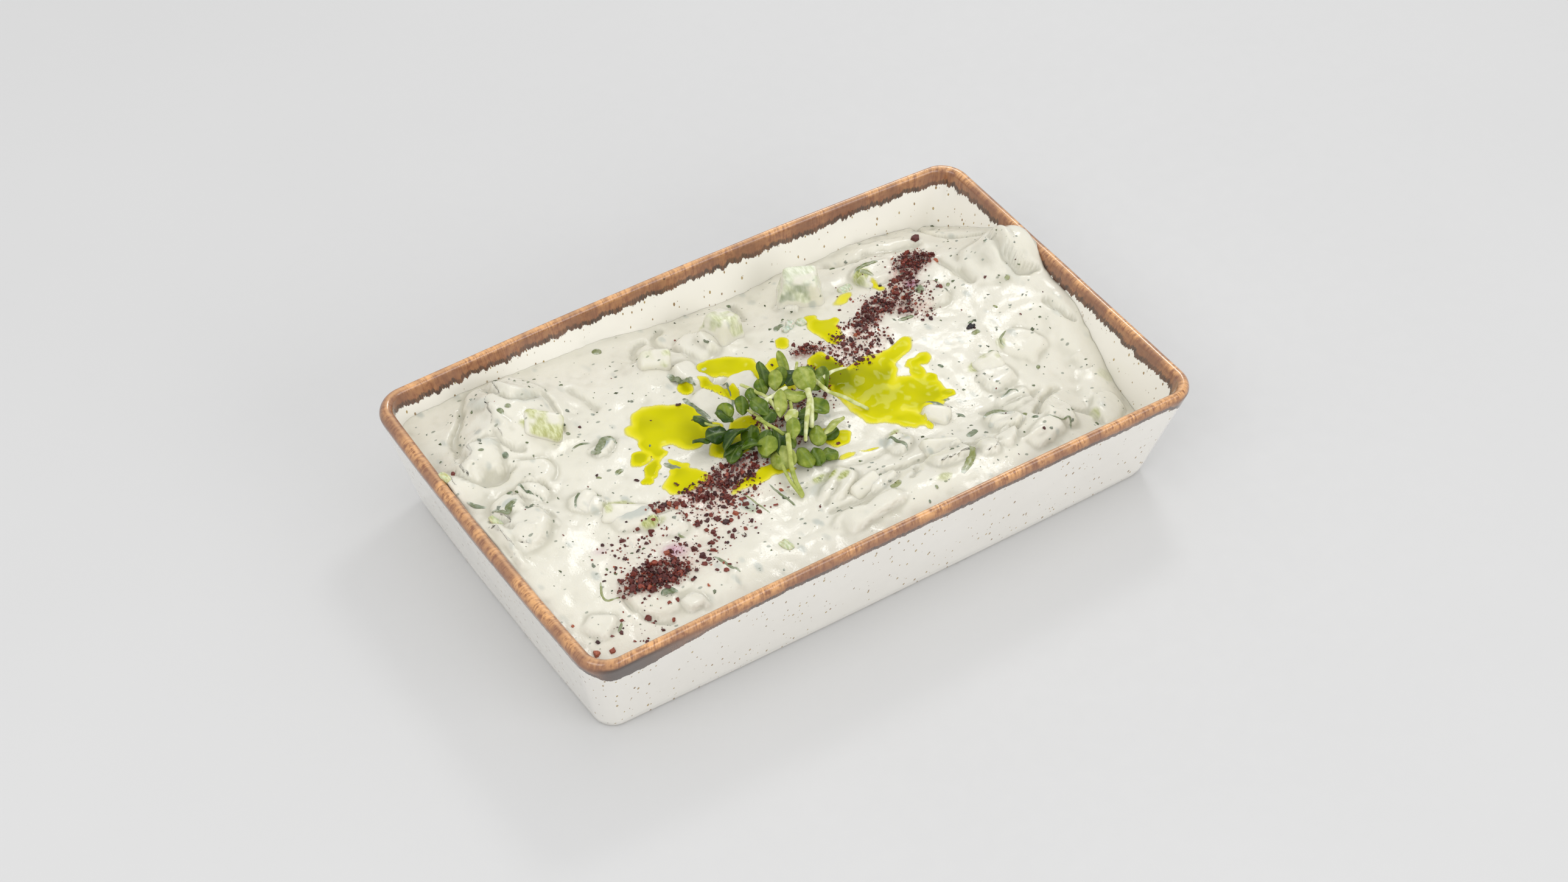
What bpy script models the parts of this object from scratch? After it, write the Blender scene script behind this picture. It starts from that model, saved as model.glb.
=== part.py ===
"""Tzatziki in a rectangular stoneware dish, with cucumber and a heap of sprouts on it.

The dish stands on z = 0 with its base centred on the origin. X runs along its long
sides and Y along its short sides. The front long wall is at -Y and the left end at -X.
Sizes below are in millimetres, and MM turns them into metres.
"""
import math
import random

import bmesh
import bpy
import numpy as np
from mathutils import Euler, Vector

MM = 0.001
GAP = 0.3                 # free space between neighbouring pieces

# dish
HALF_LENGTH = 90.0        # at the rim's corners
HALF_WIDTH = 54.15
CORNER_HEIGHT = 32.8      # height of the rim's corners
TAPER = 8.0               # the walls lean out by this much from the table to the rim
BOW_SHORT = 0.74          # the walls swell outwards in their middle
BOW_LONG = 0.62
ARCH_LONG = 1.5           # the long rims rise towards their middle
ARCH_SHORT = -0.8         # the short rims sag towards their middle
RIM_SHORT = 4.0           # width of the rim on the short walls
RIM_LONG = 3.2
RIM_OUTER_DROP = 2.3      # the rim's rounding, outside and inside
RIM_INNER_DROP = 1.5
CORNER_TOP = 7.5          # outer corner radius at the rim and at the table
CORNER_BASE = 5.0
INNER_CORNER = 5.0
BASE_ROUNDING = 1.2
FLOOR = 4.5               # thickness of the dish's floor
FLOOR_FILLET = 6.0
CORNER_SEGMENTS = 6
LONG_SEGMENTS = 11
SHORT_SEGMENTS = 7
RIM_SEGMENTS = 8
FILLET_SEGMENTS = 3

# dip: its level at the crossings of a coarse net, one row for each LEVEL_Y
LEVEL_X = (-86, -60, -30, 0, 30, 60, 85)
LEVEL_Y = (-50, -25, 0, 25, 49)
LEVELS = (
    (28.0, 29.0, 29.5, 31.0, 31.5, 25.0, 13.0),
    (29.5, 29.0, 28.5, 28.0, 26.5, 24.0, 17.5),
    (30.0, 28.5, 28.0, 28.0, 27.0, 26.0, 27.0),
    (27.5, 27.5, 26.0, 25.5, 25.5, 25.5, 27.5),
    (25.0, 25.0, 24.0, 20.5, 20.0, 20.5, 16.0),
)
# spoon marks and lumps: x, y, half length, half width, turn in degrees, height
MOUNDS = (
    (-61, 33, 13, 11, 50, 6.5),
    (-75, 24, 8, 7, 0, 3.0),
    (-83, 18, 6, 6, 0, 4.5),
    (-77, -2, 9, 8, 70, 3.0),
    (-40, -40, 14, 7, 20, 1.5),
    (-19, 33, 8, 6, 20, 3.0),
    (3, 38, 9, 7, 60, 2.5),
    (30, 40, 9, 8, 70, 2.5),
    (56, 40, 18, 6, 0, 2.5),
    (83, 17, 8, 7, 90, 6.5),
    (82, -14, 16, 5, 80, 2.0),
    (75, -34, 11, 5, 70, 2.5),
    (12, -42, 18, 6, 5, 2.0),
    (38, -42, 14, 6, 15, 2.0),
    (52, -36, 8, 6, 60, 3.0),
    (-19, -14, 9, 7, 0, 1.5),
)
GRID_CELLS_X = 38         # cells of the dip's surface between its corner zones
GRID_CELLS_Y = 22
CORNER_CELLS = 2

# cucumber: x, y, rise of the piece's middle over the dip, (length, width, height), turns in
# degrees, and how much narrower the piece is at its top
CUCUMBER = (
    (27.8, 36.0, 1.2, (14.0, 11.5, 12.5), (4, -3, -30), 0.42),
    (2.3, 34.4, 0.2, (10.5, 10.5, 9.5), (-6, 5, 15), 0.36),
    (-57.0, 24.6, -2.0, (11.0, 8.0, 8.0), (18, 12, -30), 0.10),
    (-19.7, 31.5, -0.6, (10.0, 5.0, 7.0), (14, 0, -28), 0.15),
    (-54.3, -10.7, -2.4, (13.0, 7.0, 7.0), (6, 3, -32), 0.10),
    (53.2, -12.5, -2.2, (9.0, 6.0, 7.0), (8, -6, -8), 0.10),
    (46.3, 30.6, -1.2, (9.0, 7.0, 7.0), (10, 8, 8), 0.30),
    (24.2, -32.4, -1.6, (10.5, 5.0, 7.5), (24, 0, -20), 0.05),
    (44.2, -33.9, -1.8, (11.0, 5.0, 7.5), (22, 4, -38), 0.05),
    (-0.3, -33.3, -1.8, (9.0, 4.5, 7.5), (24, -8, 12), 0.05),
    (30.5, -21.3, -1.4, (8.5, 6.0, 7.0), (12, 6, -50), 0.30),
    (-60.6, -2.0, -1.9, (8.0, 5.0, 7.0), (12, -5, 35), 0.15),
)
CHUNK_BEVEL = 1.1
CHUNK_JITTER = 0.7        # how far a cut corner strays from the square

# sprouts
HEAP_X, HEAP_Y = -9.0, -6.0
HEAP_RADIUS = 18.0
HEAP_HEIGHT = 8.5
HEAP_EDGE = 1.5           # thickness of the heap along its outline
HEAP_CLEARANCE = 0.6
HEAP_COLUMNS = 36
HEAP_RINGS = 7


def clear_scene():
    for item in list(bpy.data.objects):
        bpy.data.objects.remove(item, do_unlink=True)


def material(name, color, roughness):
    mat = bpy.data.materials.new(name)
    mat.use_nodes = True
    shader = mat.node_tree.nodes["Principled BSDF"]
    shader.inputs["Base Color"].default_value = (*color, 1.0)
    shader.inputs["Roughness"].default_value = roughness
    shader.inputs["Metallic"].default_value = 0.0
    mat.diffuse_color = (*color, 1.0)
    return mat


def add_object(name, mesh, mat):
    item = bpy.data.objects.new(name, mesh)
    bpy.context.scene.collection.objects.link(item)
    mesh.materials.append(mat)
    return item


def mesh_from(name, verts_mm, faces, sharp_degrees=35.0):
    """A closed mesh from points in millimetres, triangulated and shaded smooth."""
    bm = bmesh.new()
    verts = [bm.verts.new(Vector(v) * MM) for v in verts_mm]
    for face in faces:
        bm.faces.new([verts[i] for i in face])
    bmesh.ops.triangulate(bm, faces=bm.faces[:])
    bmesh.ops.recalc_face_normals(bm, faces=bm.faces[:])
    mesh = bpy.data.meshes.new(name)
    bm.to_mesh(mesh)
    bm.free()
    mesh.shade_smooth()
    mesh.set_sharp_from_angle(angle=math.radians(sharp_degrees))
    return mesh


def swell(x, y, half_x, half_y):
    """Moves a point of a plain rounded rectangle out to the walls' slight bow."""
    wide = y * (1.0 + BOW_LONG / half_y * (1.0 - (x / half_x) ** 2))
    long = x * (1.0 + BOW_SHORT / half_x * (1.0 - (y / half_y) ** 2))
    return long, wide


def arch(x, y, z, half_x, half_y):
    """Lifts or lowers a point of the wall by the rim's arch, not at all near the floor."""
    above = max(0.0, z - FLOOR - FLOOR_FILLET) / (CORNER_HEIGHT - FLOOR - FLOOR_FILLET)
    rise = ARCH_LONG * (1.0 - (x / half_x) ** 2) + ARCH_SHORT * (1.0 - (y / half_y) ** 2)
    return z + rise * above ** 2


def ring_points(half_x, half_y, radius, z):
    """One ring of the dish, anticlockwise from the +X side's lower end."""
    flat_x = half_x - radius
    flat_y = half_y - radius
    plan = []
    for turn, (cx, cy) in enumerate(((1, -1), (1, 1), (-1, 1), (-1, -1))):
        start = math.radians(-90.0 + 90.0 * turn)
        for step in range(CORNER_SEGMENTS + 1):
            angle = start + math.radians(90.0) * step / CORNER_SEGMENTS
            plan.append((cx * flat_x + radius * math.cos(angle), cy * flat_y + radius * math.sin(angle)))
        count = SHORT_SEGMENTS if turn % 2 == 0 else LONG_SEGMENTS
        x0, y0 = plan[-1]
        x1, y1 = (x0, -y0) if turn % 2 == 0 else (-x0, y0)
        for step in range(1, count):
            share = step / count
            plan.append((x0 + (x1 - x0) * share, y0 + (y1 - y0) * share))
    return [(*swell(x, y, half_x, half_y), arch(x, y, z, half_x, half_y)) for x, y in plan]


def lean(z):
    """How far the wall stands inside the rim's outline at height z."""
    return TAPER * (1.0 - z / CORNER_HEIGHT)


def dish_stations():
    """Inset on the short walls, inset on the long walls, height and corner radius."""
    stations = []
    for angle in (90.0, 45.0, 0.0):
        inset = lean(0.0) + BASE_ROUNDING * (1.0 - math.cos(math.radians(angle)))
        z = BASE_ROUNDING * (1.0 - math.sin(math.radians(angle)))
        stations.append((inset, inset, z, CORNER_BASE))
    edge = CORNER_HEIGHT - RIM_OUTER_DROP
    for share in (0.35, 0.7, 1.0):
        z = BASE_ROUNDING + (edge - BASE_ROUNDING) * share
        radius = CORNER_BASE + (CORNER_TOP - CORNER_BASE) * share
        stations.append((lean(z), lean(z), z, radius))
    for step in range(1, RIM_SEGMENTS + 1):
        angle = math.pi * step / RIM_SEGMENTS
        across = 0.5 * (1.0 - math.cos(angle))
        drop = RIM_OUTER_DROP if across < 0.5 else RIM_INNER_DROP
        z = CORNER_HEIGHT - drop * (1.0 - math.sin(angle))
        radius = CORNER_TOP + (INNER_CORNER - CORNER_TOP) * across
        start = lean(edge) * (1.0 - across)
        stations.append((start + RIM_SHORT * across, start + RIM_LONG * across, z, radius))
    top = CORNER_HEIGHT - RIM_INNER_DROP
    low = FLOOR + FLOOR_FILLET
    for share in (0.5, 1.0):
        z = top + (low - top) * share
        stations.append((*cavity_inset(z), z, INNER_CORNER))
    for step in range(1, FILLET_SEGMENTS + 1):
        angle = math.radians(90.0) * step / FILLET_SEGMENTS
        inset_x, inset_y = cavity_inset(low)
        extra = FLOOR_FILLET * (1.0 - math.cos(angle))
        stations.append((inset_x + extra, inset_y + extra, low - FLOOR_FILLET * math.sin(angle), INNER_CORNER))
    return stations


def cavity_inset(z):
    """Inset of the inner wall at height z, on the short walls and on the long walls."""
    slope = lean(z) - lean(CORNER_HEIGHT - RIM_INNER_DROP)
    return RIM_SHORT + slope, RIM_LONG + slope


def build_dish():
    rings = [
        ring_points(HALF_LENGTH - inset_x, HALF_WIDTH - inset_y, radius, z)
        for inset_x, inset_y, z, radius in dish_stations()
    ]
    count = len(rings[0])
    verts = [point for ring in rings for point in ring]
    faces = [tuple(reversed(range(count)))]
    for row in range(len(rings) - 1):
        for column in range(count):
            after = (column + 1) % count
            low, high = row * count, (row + 1) * count
            faces.append((low + column, low + after, high + after, high + column))
    last = (len(rings) - 1) * count
    faces.append(tuple(last + column for column in range(count)))
    mesh = mesh_from("dish", verts, faces)
    return add_object("dish", mesh, material("stoneware", (0.73, 0.70, 0.64), 0.35))


def spline(ticks, values, at):
    """Reads values given at ticks with a smooth curve through them."""
    last = len(ticks) - 1
    cell = min(max(int(np.searchsorted(ticks, at)) - 1, 0), last - 1)
    t = min(max((at - ticks[cell]) / (ticks[cell + 1] - ticks[cell]), 0.0), 1.0)
    before, here, there, after = (values[min(max(cell + k, 0), last)] for k in (-1, 0, 1, 2))
    bend = 2 * before - 5 * here + 4 * there - after
    twist = 3 * here - before - 3 * there + after
    return 0.5 * (2 * here + (there - before) * t + bend * t ** 2 + twist * t ** 3)


def dip_height(x, y):
    """Height of the dip's surface above the table."""
    z = spline(LEVEL_Y, [spline(LEVEL_X, row, x) for row in LEVELS], y)
    for mound_x, mound_y, half_long, half_wide, turn, rise in MOUNDS:
        angle = math.radians(turn)
        along = ((x - mound_x) * math.cos(angle) + (y - mound_y) * math.sin(angle)) / half_long
        across = ((y - mound_y) * math.cos(angle) - (x - mound_x) * math.sin(angle)) / half_wide
        z += rise * math.exp(-(along ** 2 + across ** 2) ** 1.5)
    return z


def grid_shares(half, cells):
    """Grid lines from -1 to 1, with narrow cells next to the rounded corners."""
    corner = INNER_CORNER / half
    inner = np.linspace(-1.0 + corner, 1.0 - corner, cells + 1)
    edge = np.linspace(0.0, corner, CORNER_CELLS + 1)[:-1]
    return list(-1.0 + edge) + list(inner) + list(1.0 - edge[::-1])


def plan_point(share_x, share_y, half_x, half_y):
    """Point of the dip's outline or inside it, from shares of its half sizes."""
    x, y = share_x * half_x, share_y * half_y
    out_x = (abs(x) - (half_x - INNER_CORNER)) / INNER_CORNER
    out_y = (abs(y) - (half_y - INNER_CORNER)) / INNER_CORNER
    if out_x > 0.0 and out_y > 0.0:
        round_x = out_x * math.sqrt(1.0 - 0.5 * out_y ** 2)
        round_y = out_y * math.sqrt(1.0 - 0.5 * out_x ** 2)
        x = math.copysign(half_x - INNER_CORNER + INNER_CORNER * round_x, x)
        y = math.copysign(half_y - INNER_CORNER + INNER_CORNER * round_y, y)
    return swell(x, y, half_x, half_y)


def dip_halves(z):
    """Half sizes of the dip's outline at height z, a gap inside the wall."""
    inset_x, inset_y = cavity_inset(min(z, CORNER_HEIGHT))
    return HALF_LENGTH - inset_x - GAP, HALF_WIDTH - inset_y - GAP


def dip_surface_point(share_x, share_y):
    x, y = plan_point(share_x, share_y, *dip_halves(CORNER_HEIGHT * 0.8))
    z = dip_height(x, y)
    x, y = plan_point(share_x, share_y, *dip_halves(z))
    return x, y, z


def dip_column(share_x, share_y):
    """Points down the dip's side below one point of its edge, without that point."""
    low = FLOOR + FLOOR_FILLET
    half_x, half_y = dip_halves(low)
    radius = FLOOR_FILLET - GAP
    column = [(*plan_point(share_x, share_y, half_x, half_y), low)]
    for step in range(1, FILLET_SEGMENTS + 1):
        angle = math.radians(90.0) * step / FILLET_SEGMENTS
        extra = radius * (1.0 - math.cos(angle))
        x, y = plan_point(share_x, share_y, half_x - extra, half_y - extra)
        column.append((x, y, low - radius * math.sin(angle)))
    return column


def build_dip(sockets):
    shares_x = grid_shares(HALF_LENGTH - RIM_SHORT, GRID_CELLS_X)
    shares_y = grid_shares(HALF_WIDTH - RIM_LONG, GRID_CELLS_Y)
    across, deep = len(shares_x), len(shares_y)
    verts = [dip_surface_point(u, v) for v in shares_y for u in shares_x]
    faces = []
    for row in range(deep - 1):
        for column in range(across - 1):
            at = row * across + column
            faces.append((at, at + 1, at + across + 1, at + across))
    edge = [column for column in range(across - 1)]
    edge += [row * across + across - 1 for row in range(deep - 1)]
    edge += [(deep - 1) * across + column for column in range(across - 1, 0, -1)]
    edge += [row * across for row in range(deep - 1, 0, -1)]
    columns = []
    for index in edge:
        column = dip_column(shares_x[index % across], shares_y[index // across])
        columns.append([index] + list(range(len(verts), len(verts) + len(column))))
        verts.extend(column)
    for here, after in zip(columns, columns[1:] + columns[:1]):
        for step in range(len(here) - 1):
            faces.append((here[step + 1], after[step + 1], after[step], here[step]))
    faces.append(tuple(column[-1] for column in reversed(columns)))
    mesh = mesh_from("dip", verts, faces, 60.0)
    dip = add_object("dip", mesh, material("yoghurt", (0.86, 0.84, 0.77), 0.3))
    cut = dip.modifiers.new("sockets", "BOOLEAN")
    cut.operation = "DIFFERENCE"
    cut.solver = "EXACT"
    cut.object = sockets
    return dip


def add_chunk(bm, row, index, grow):
    """Adds one cut piece of cucumber, grown by the gap on all sides for its socket."""
    x, y, rise, size, turns, pinch = row
    draw = random.Random(100 + index)
    corners = []
    for side_x in (-1, 1):
        for side_y in (-1, 1):
            for side_z in (-1, 1):
                stray = Vector([draw.uniform(-CHUNK_JITTER, CHUNK_JITTER) for _ in range(3)])
                narrow = 1.0 - pinch * (side_z + 1) / 2
                half = Vector((size[0] * narrow, size[1] * narrow, size[2])) / 2
                corner = Vector((side_x * (half.x + grow), side_y * (half.y + grow), side_z * (half.z + grow)))
                corners.append(corner + stray)
    turn = Euler([math.radians(angle) for angle in turns]).to_matrix()
    centre = Vector((x, y, dip_height(x, y) + rise))
    verts = [bm.verts.new((turn @ corner + centre) * MM) for corner in corners]
    quads = ((0, 1, 3, 2), (4, 6, 7, 5), (0, 4, 5, 1), (2, 3, 7, 6), (0, 2, 6, 4), (1, 5, 7, 3))
    faces = [bm.faces.new([verts[i] for i in quad]) for quad in quads]
    triangles = bmesh.ops.triangulate(bm, faces=faces)["faces"]
    edges = {edge for face in triangles for edge in face.edges if edge.calc_face_angle(0.0) > 0.5}
    bmesh.ops.bevel(
        bm, geom=list(edges), offset=(CHUNK_BEVEL + grow / 2) * MM, segments=2, profile=0.5, affect="EDGES"
    )


def build_cucumber():
    flesh = material("cucumber", (0.62, 0.68, 0.42), 0.25)
    chunks = []
    for index, row in enumerate(CUCUMBER):
        bm = bmesh.new()
        add_chunk(bm, row, index, 0.0)
        bmesh.ops.triangulate(bm, faces=bm.faces[:])
        bmesh.ops.recalc_face_normals(bm, faces=bm.faces[:])
        mesh = bpy.data.meshes.new(f"cucumber_{index + 1:02d}")
        bm.to_mesh(mesh)
        bm.free()
        mesh.shade_smooth()
        mesh.set_sharp_from_angle(angle=math.radians(50.0))
        chunks.append(add_object(mesh.name, mesh, flesh))
    return chunks


def build_sockets():
    """Cutter for the sockets that the pieces of cucumber sit in."""
    bm = bmesh.new()
    for index, row in enumerate(CUCUMBER):
        add_chunk(bm, row, index, GAP)
    bmesh.ops.recalc_face_normals(bm, faces=bm.faces[:])
    mesh = bpy.data.meshes.new("sockets")
    bm.to_mesh(mesh)
    bm.free()
    cutter = bpy.data.objects.new("sockets", mesh)
    bpy.context.scene.collection.objects.link(cutter)
    cutter.hide_render = True
    cutter.display_type = "WIRE"
    return cutter


def heap_reach(angle):
    """The heap's uneven outline: leaves stand out of it on all sides."""
    lobes = 0.10 * math.sin(3 * angle + 0.6) + 0.08 * math.sin(5 * angle + 2.1) + 0.06 * math.sin(9 * angle)
    return HEAP_RADIUS * (1.0 + lobes)


def heap_rise(share, angle):
    """Height of the heap over the dip, from its middle at 0 to its outline at 1."""
    dome = (1.0 - share ** 2.4) ** 0.6
    lumps = 1.0 + share * (0.16 * math.sin(4 * angle + 3 * share) + 0.1 * math.sin(7 * angle - 2 * share))
    return HEAP_EDGE + (HEAP_HEIGHT - HEAP_EDGE) * dome * lumps


def build_sprouts():
    top, under = [], []
    for ring in range(1, HEAP_RINGS + 1):
        share = ring / HEAP_RINGS
        for column in range(HEAP_COLUMNS):
            angle = 2 * math.pi * column / HEAP_COLUMNS
            x = HEAP_X + heap_reach(angle) * share * math.cos(angle)
            y = HEAP_Y + heap_reach(angle) * share * math.sin(angle)
            ground = dip_height(x, y) + HEAP_CLEARANCE
            top.append((x, y, ground + heap_rise(share, angle)))
            under.append((x, y, ground))
    ground = dip_height(HEAP_X, HEAP_Y) + HEAP_CLEARANCE
    verts = top + under + [(HEAP_X, HEAP_Y, ground + heap_rise(0.0, 0.0)), (HEAP_X, HEAP_Y, ground)]
    top_middle, under_middle = len(verts) - 2, len(verts) - 1
    shift = len(top)
    faces = []
    for column in range(HEAP_COLUMNS):
        after = (column + 1) % HEAP_COLUMNS
        faces.append((top_middle, column, after))
        faces.append((under_middle, shift + after, shift + column))
        for ring in range(HEAP_RINGS - 1):
            low, high = ring * HEAP_COLUMNS, (ring + 1) * HEAP_COLUMNS
            faces.append((low + column, high + column, high + after, low + after))
            faces.append((shift + low + after, shift + high + after, shift + high + column, shift + low + column))
        rim = (HEAP_RINGS - 1) * HEAP_COLUMNS
        faces.append((rim + column, shift + rim + column, shift + rim + after, rim + after))
    mesh = mesh_from("microgreens", verts, faces, 60.0)
    return add_object("microgreens", mesh, material("leaf", (0.16, 0.28, 0.08), 0.4))


def main():
    clear_scene()
    build_dish()
    build_dip(build_sockets())
    build_cucumber()
    build_sprouts()


main()
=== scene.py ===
"""Looks of the tzatziki dip: glazed dish, yoghurt, cucumber, sprouts, oil and sumac.

Lengths in the tables below are in millimetres in the part's own frame. MM turns them into metres.
"""

import itertools
import math
import random

import bpy
import numpy as np
from mathutils import Euler, Matrix, Vector


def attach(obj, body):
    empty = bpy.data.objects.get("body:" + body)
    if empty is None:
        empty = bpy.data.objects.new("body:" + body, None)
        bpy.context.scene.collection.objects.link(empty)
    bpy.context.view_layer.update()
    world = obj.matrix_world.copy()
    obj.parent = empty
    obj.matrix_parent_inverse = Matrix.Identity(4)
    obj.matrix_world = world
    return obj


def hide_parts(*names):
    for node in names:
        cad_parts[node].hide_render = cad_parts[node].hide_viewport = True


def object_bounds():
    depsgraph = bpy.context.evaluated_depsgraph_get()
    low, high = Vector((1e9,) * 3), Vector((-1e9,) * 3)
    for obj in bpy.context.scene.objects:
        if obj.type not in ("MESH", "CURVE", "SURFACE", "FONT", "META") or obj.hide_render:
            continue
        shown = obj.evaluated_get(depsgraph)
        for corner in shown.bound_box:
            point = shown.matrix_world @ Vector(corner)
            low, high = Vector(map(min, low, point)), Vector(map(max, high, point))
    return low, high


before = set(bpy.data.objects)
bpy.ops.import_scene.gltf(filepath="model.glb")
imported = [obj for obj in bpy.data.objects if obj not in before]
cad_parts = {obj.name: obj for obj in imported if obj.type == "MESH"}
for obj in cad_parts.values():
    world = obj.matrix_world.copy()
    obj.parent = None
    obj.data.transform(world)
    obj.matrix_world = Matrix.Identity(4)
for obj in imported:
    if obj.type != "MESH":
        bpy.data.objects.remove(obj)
CAD_LOW, CAD_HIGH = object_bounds()

MM = 0.001
CEILING = CAD_HIGH.z / MM  # nothing stands above the CAD model

# dish
HALF_LENGTH = 90.0
HALF_WIDTH = 54.15
CORNER_HEIGHT = 32.8
TAPER = 8.0
BOW_SHORT = 0.74
BOW_LONG = 0.62
ARCH_LONG = 1.5
ARCH_SHORT = -0.8
RIM_SHORT = 4.0
RIM_LONG = 3.2
RIM_OUTER_DROP = 2.3
RIM_INNER_DROP = 1.5
CORNER_TOP = 7.5
CORNER_BASE = 5.0
INNER_CORNER = 5.0
BASE_ROUNDING = 1.2
FLOOR = 4.5
FLOOR_FILLET = 6.0
GAP = 0.3
CORNER_STEPS = 20
LONG_STEPS = 150
SHORT_STEPS = 84
WALL_STEPS = 26
RIM_STEPS = 26
INNER_STEPS = 16

# dip: level at the crossings of a coarse net, one row for each LEVEL_Y
LEVEL_X = (-86, -60, -30, 0, 30, 60, 85)
LEVEL_Y = (-50, -25, 0, 25, 49)
LEVELS = (
    (28, 29, 29.5, 31, 31.5, 25, 13), (29.5, 29, 28.5, 28, 26.5, 24, 17.5), (30, 28.5, 28, 28, 27, 26, 27),
    (27.5, 27.5, 26, 25.5, 25.5, 25.5, 27.5), (25, 25, 24, 20.5, 20, 20.5, 16),
)
# spoon marks and lumps: x, y, half length, half width, turn in degrees, height
MOUNDS = (
    (-61, 33, 13, 11, 50, 6.5), (-75, 24, 8, 7, 0, 3), (-83, 18, 6, 6, 0, 4.5), (-77, -2, 9, 8, 70, 3),
    (-40, -40, 14, 7, 20, 1.5), (-19, 33, 8, 6, 20, 3), (3, 38, 9, 7, 60, 2.5), (30, 40, 9, 8, 70, 2.5),
    (56, 40, 18, 6, 0, 2.5), (83, 17, 8, 7, 90, 6.5), (82, -14, 16, 5, 80, 2), (75, -34, 11, 5, 70, 2.5),
    (12, -42, 18, 6, 5, 2), (38, -42, 14, 6, 15, 2), (52, -36, 8, 6, 60, 3), (-19, -14, 9, 7, 0, 1.5),
)
# cut cucumber under a full coat: x, y, half length, half width, turn, height, slope along, slope across
LUMPS = (
    (-78.5, 4.5, 5, 4.2, 60, 1.3, 0.1, -0.06), (-69.5, 6.5, 4.6, 3.6, -65, 1.4, -0.08, 0.05),
    (-77, -5, 6.5, 5, 15, 1.2, 0.05, -0.1), (-67, 13.5, 6, 4.2, -25, 0.9, 0.06, 0.05),
    (-76.5, 22.5, 5.6, 4.6, -20, 1.5, 0.05, 0.1), (-63.5, 38.5, 4.4, 9.5, 15, 1.1, 0.04, 0.04),
    (-55, 40, 5.4, 6, 25, 1.3, -0.1, 0.06), (-4.9, 12.4, 4.4, 4.3, -12, 1.7, 0.05, 0.04),
    (-13.5, 23.5, 3.4, 5.2, 10, 1.4, -0.1, 0.04), (-14.5, 13, 4.2, 4.6, -10, 0.7, 0.04, 0.02),
    (-6, 33, 4.2, 5.4, 20, 1.2, 0.05, 0.06), (55, 16.5, 5.5, 5, 10, 1.3, 0.05, -0.06),
    (50, 32, 6.5, 3.8, -4, 1.4, -0.08, 0.02), (75.5, 18, 8, 6.4, 80, 1, 0.05, -0.05),
    (66, -10.5, 5, 5.6, 30, 0.8, 0.05, -0.05), (22, -37.5, 5.6, 3.6, -8, 1.5, 0.04, -0.1),
    (24.5, -33, 3.6, 2.6, -25, 1, 0.05, -0.14), (43, -32.5, 4.2, 4.2, -20, 1.3, 0.06, -0.05),
    (38, -40, 4.6, 2.6, 40, 1.3, 0.1, -0.05), (32, -40.5, 2.6, 5, -30, 1.2, -0.05, -0.06),
    (57.5, -36.5, 4.6, 6, -35, 1.7, 0.04, -0.08), (48.5, -43, 6, 2.8, 16, 1, 0.02, -0.08),
    (73, -38, 7, 4, 38, 1, -0.03, -0.05), (53, -17.5, 4.6, 3.8, 0, 1.1, 0.05, -0.1),
    (52, -26, 5, 3, 12, 0.9, 0.02, -0.08), (30.5, -20, 3.6, 3.6, -30, 1.2, 0.02, -0.1),
    (16, -26, 3.4, 3.4, 35, 1, -0.08, -0.06), (-5.5, -30, 6.4, 3.4, 40, 1.2, 0.02, -0.08),
    (4, -34.5, 4, 2.8, 15, 1, 0.05, -0.1), (-4, -43.5, 8.5, 3.2, 2, 1.2, 0.02, -0.06),
    (-60.5, -3.6, 4, 3, -35, 0.9, -0.06, 0.04), (-53.5, -12.5, 5.4, 4.6, -30, 0.9, 0.05, -0.06),
    (-48.5, -19, 4.6, 3.6, -10, 0.7, 0.05, -0.06), (-63.5, -39, 6, 4.4, -20, 0.8, 0.02, -0.05),
    (-78, -38.5, 3.6, 3.4, 30, 0.9, 0.06, -0.06), (-56, -44, 2.4, 2.8, 10, 0.8, -0.15, -0.05),
    (-46.5, 12.5, 4, 2.4, 20, 0.9, 0.05, -0.12), (-58, -37.5, 4, 2.8, 0, 0.5, 0, 0),
)
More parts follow.
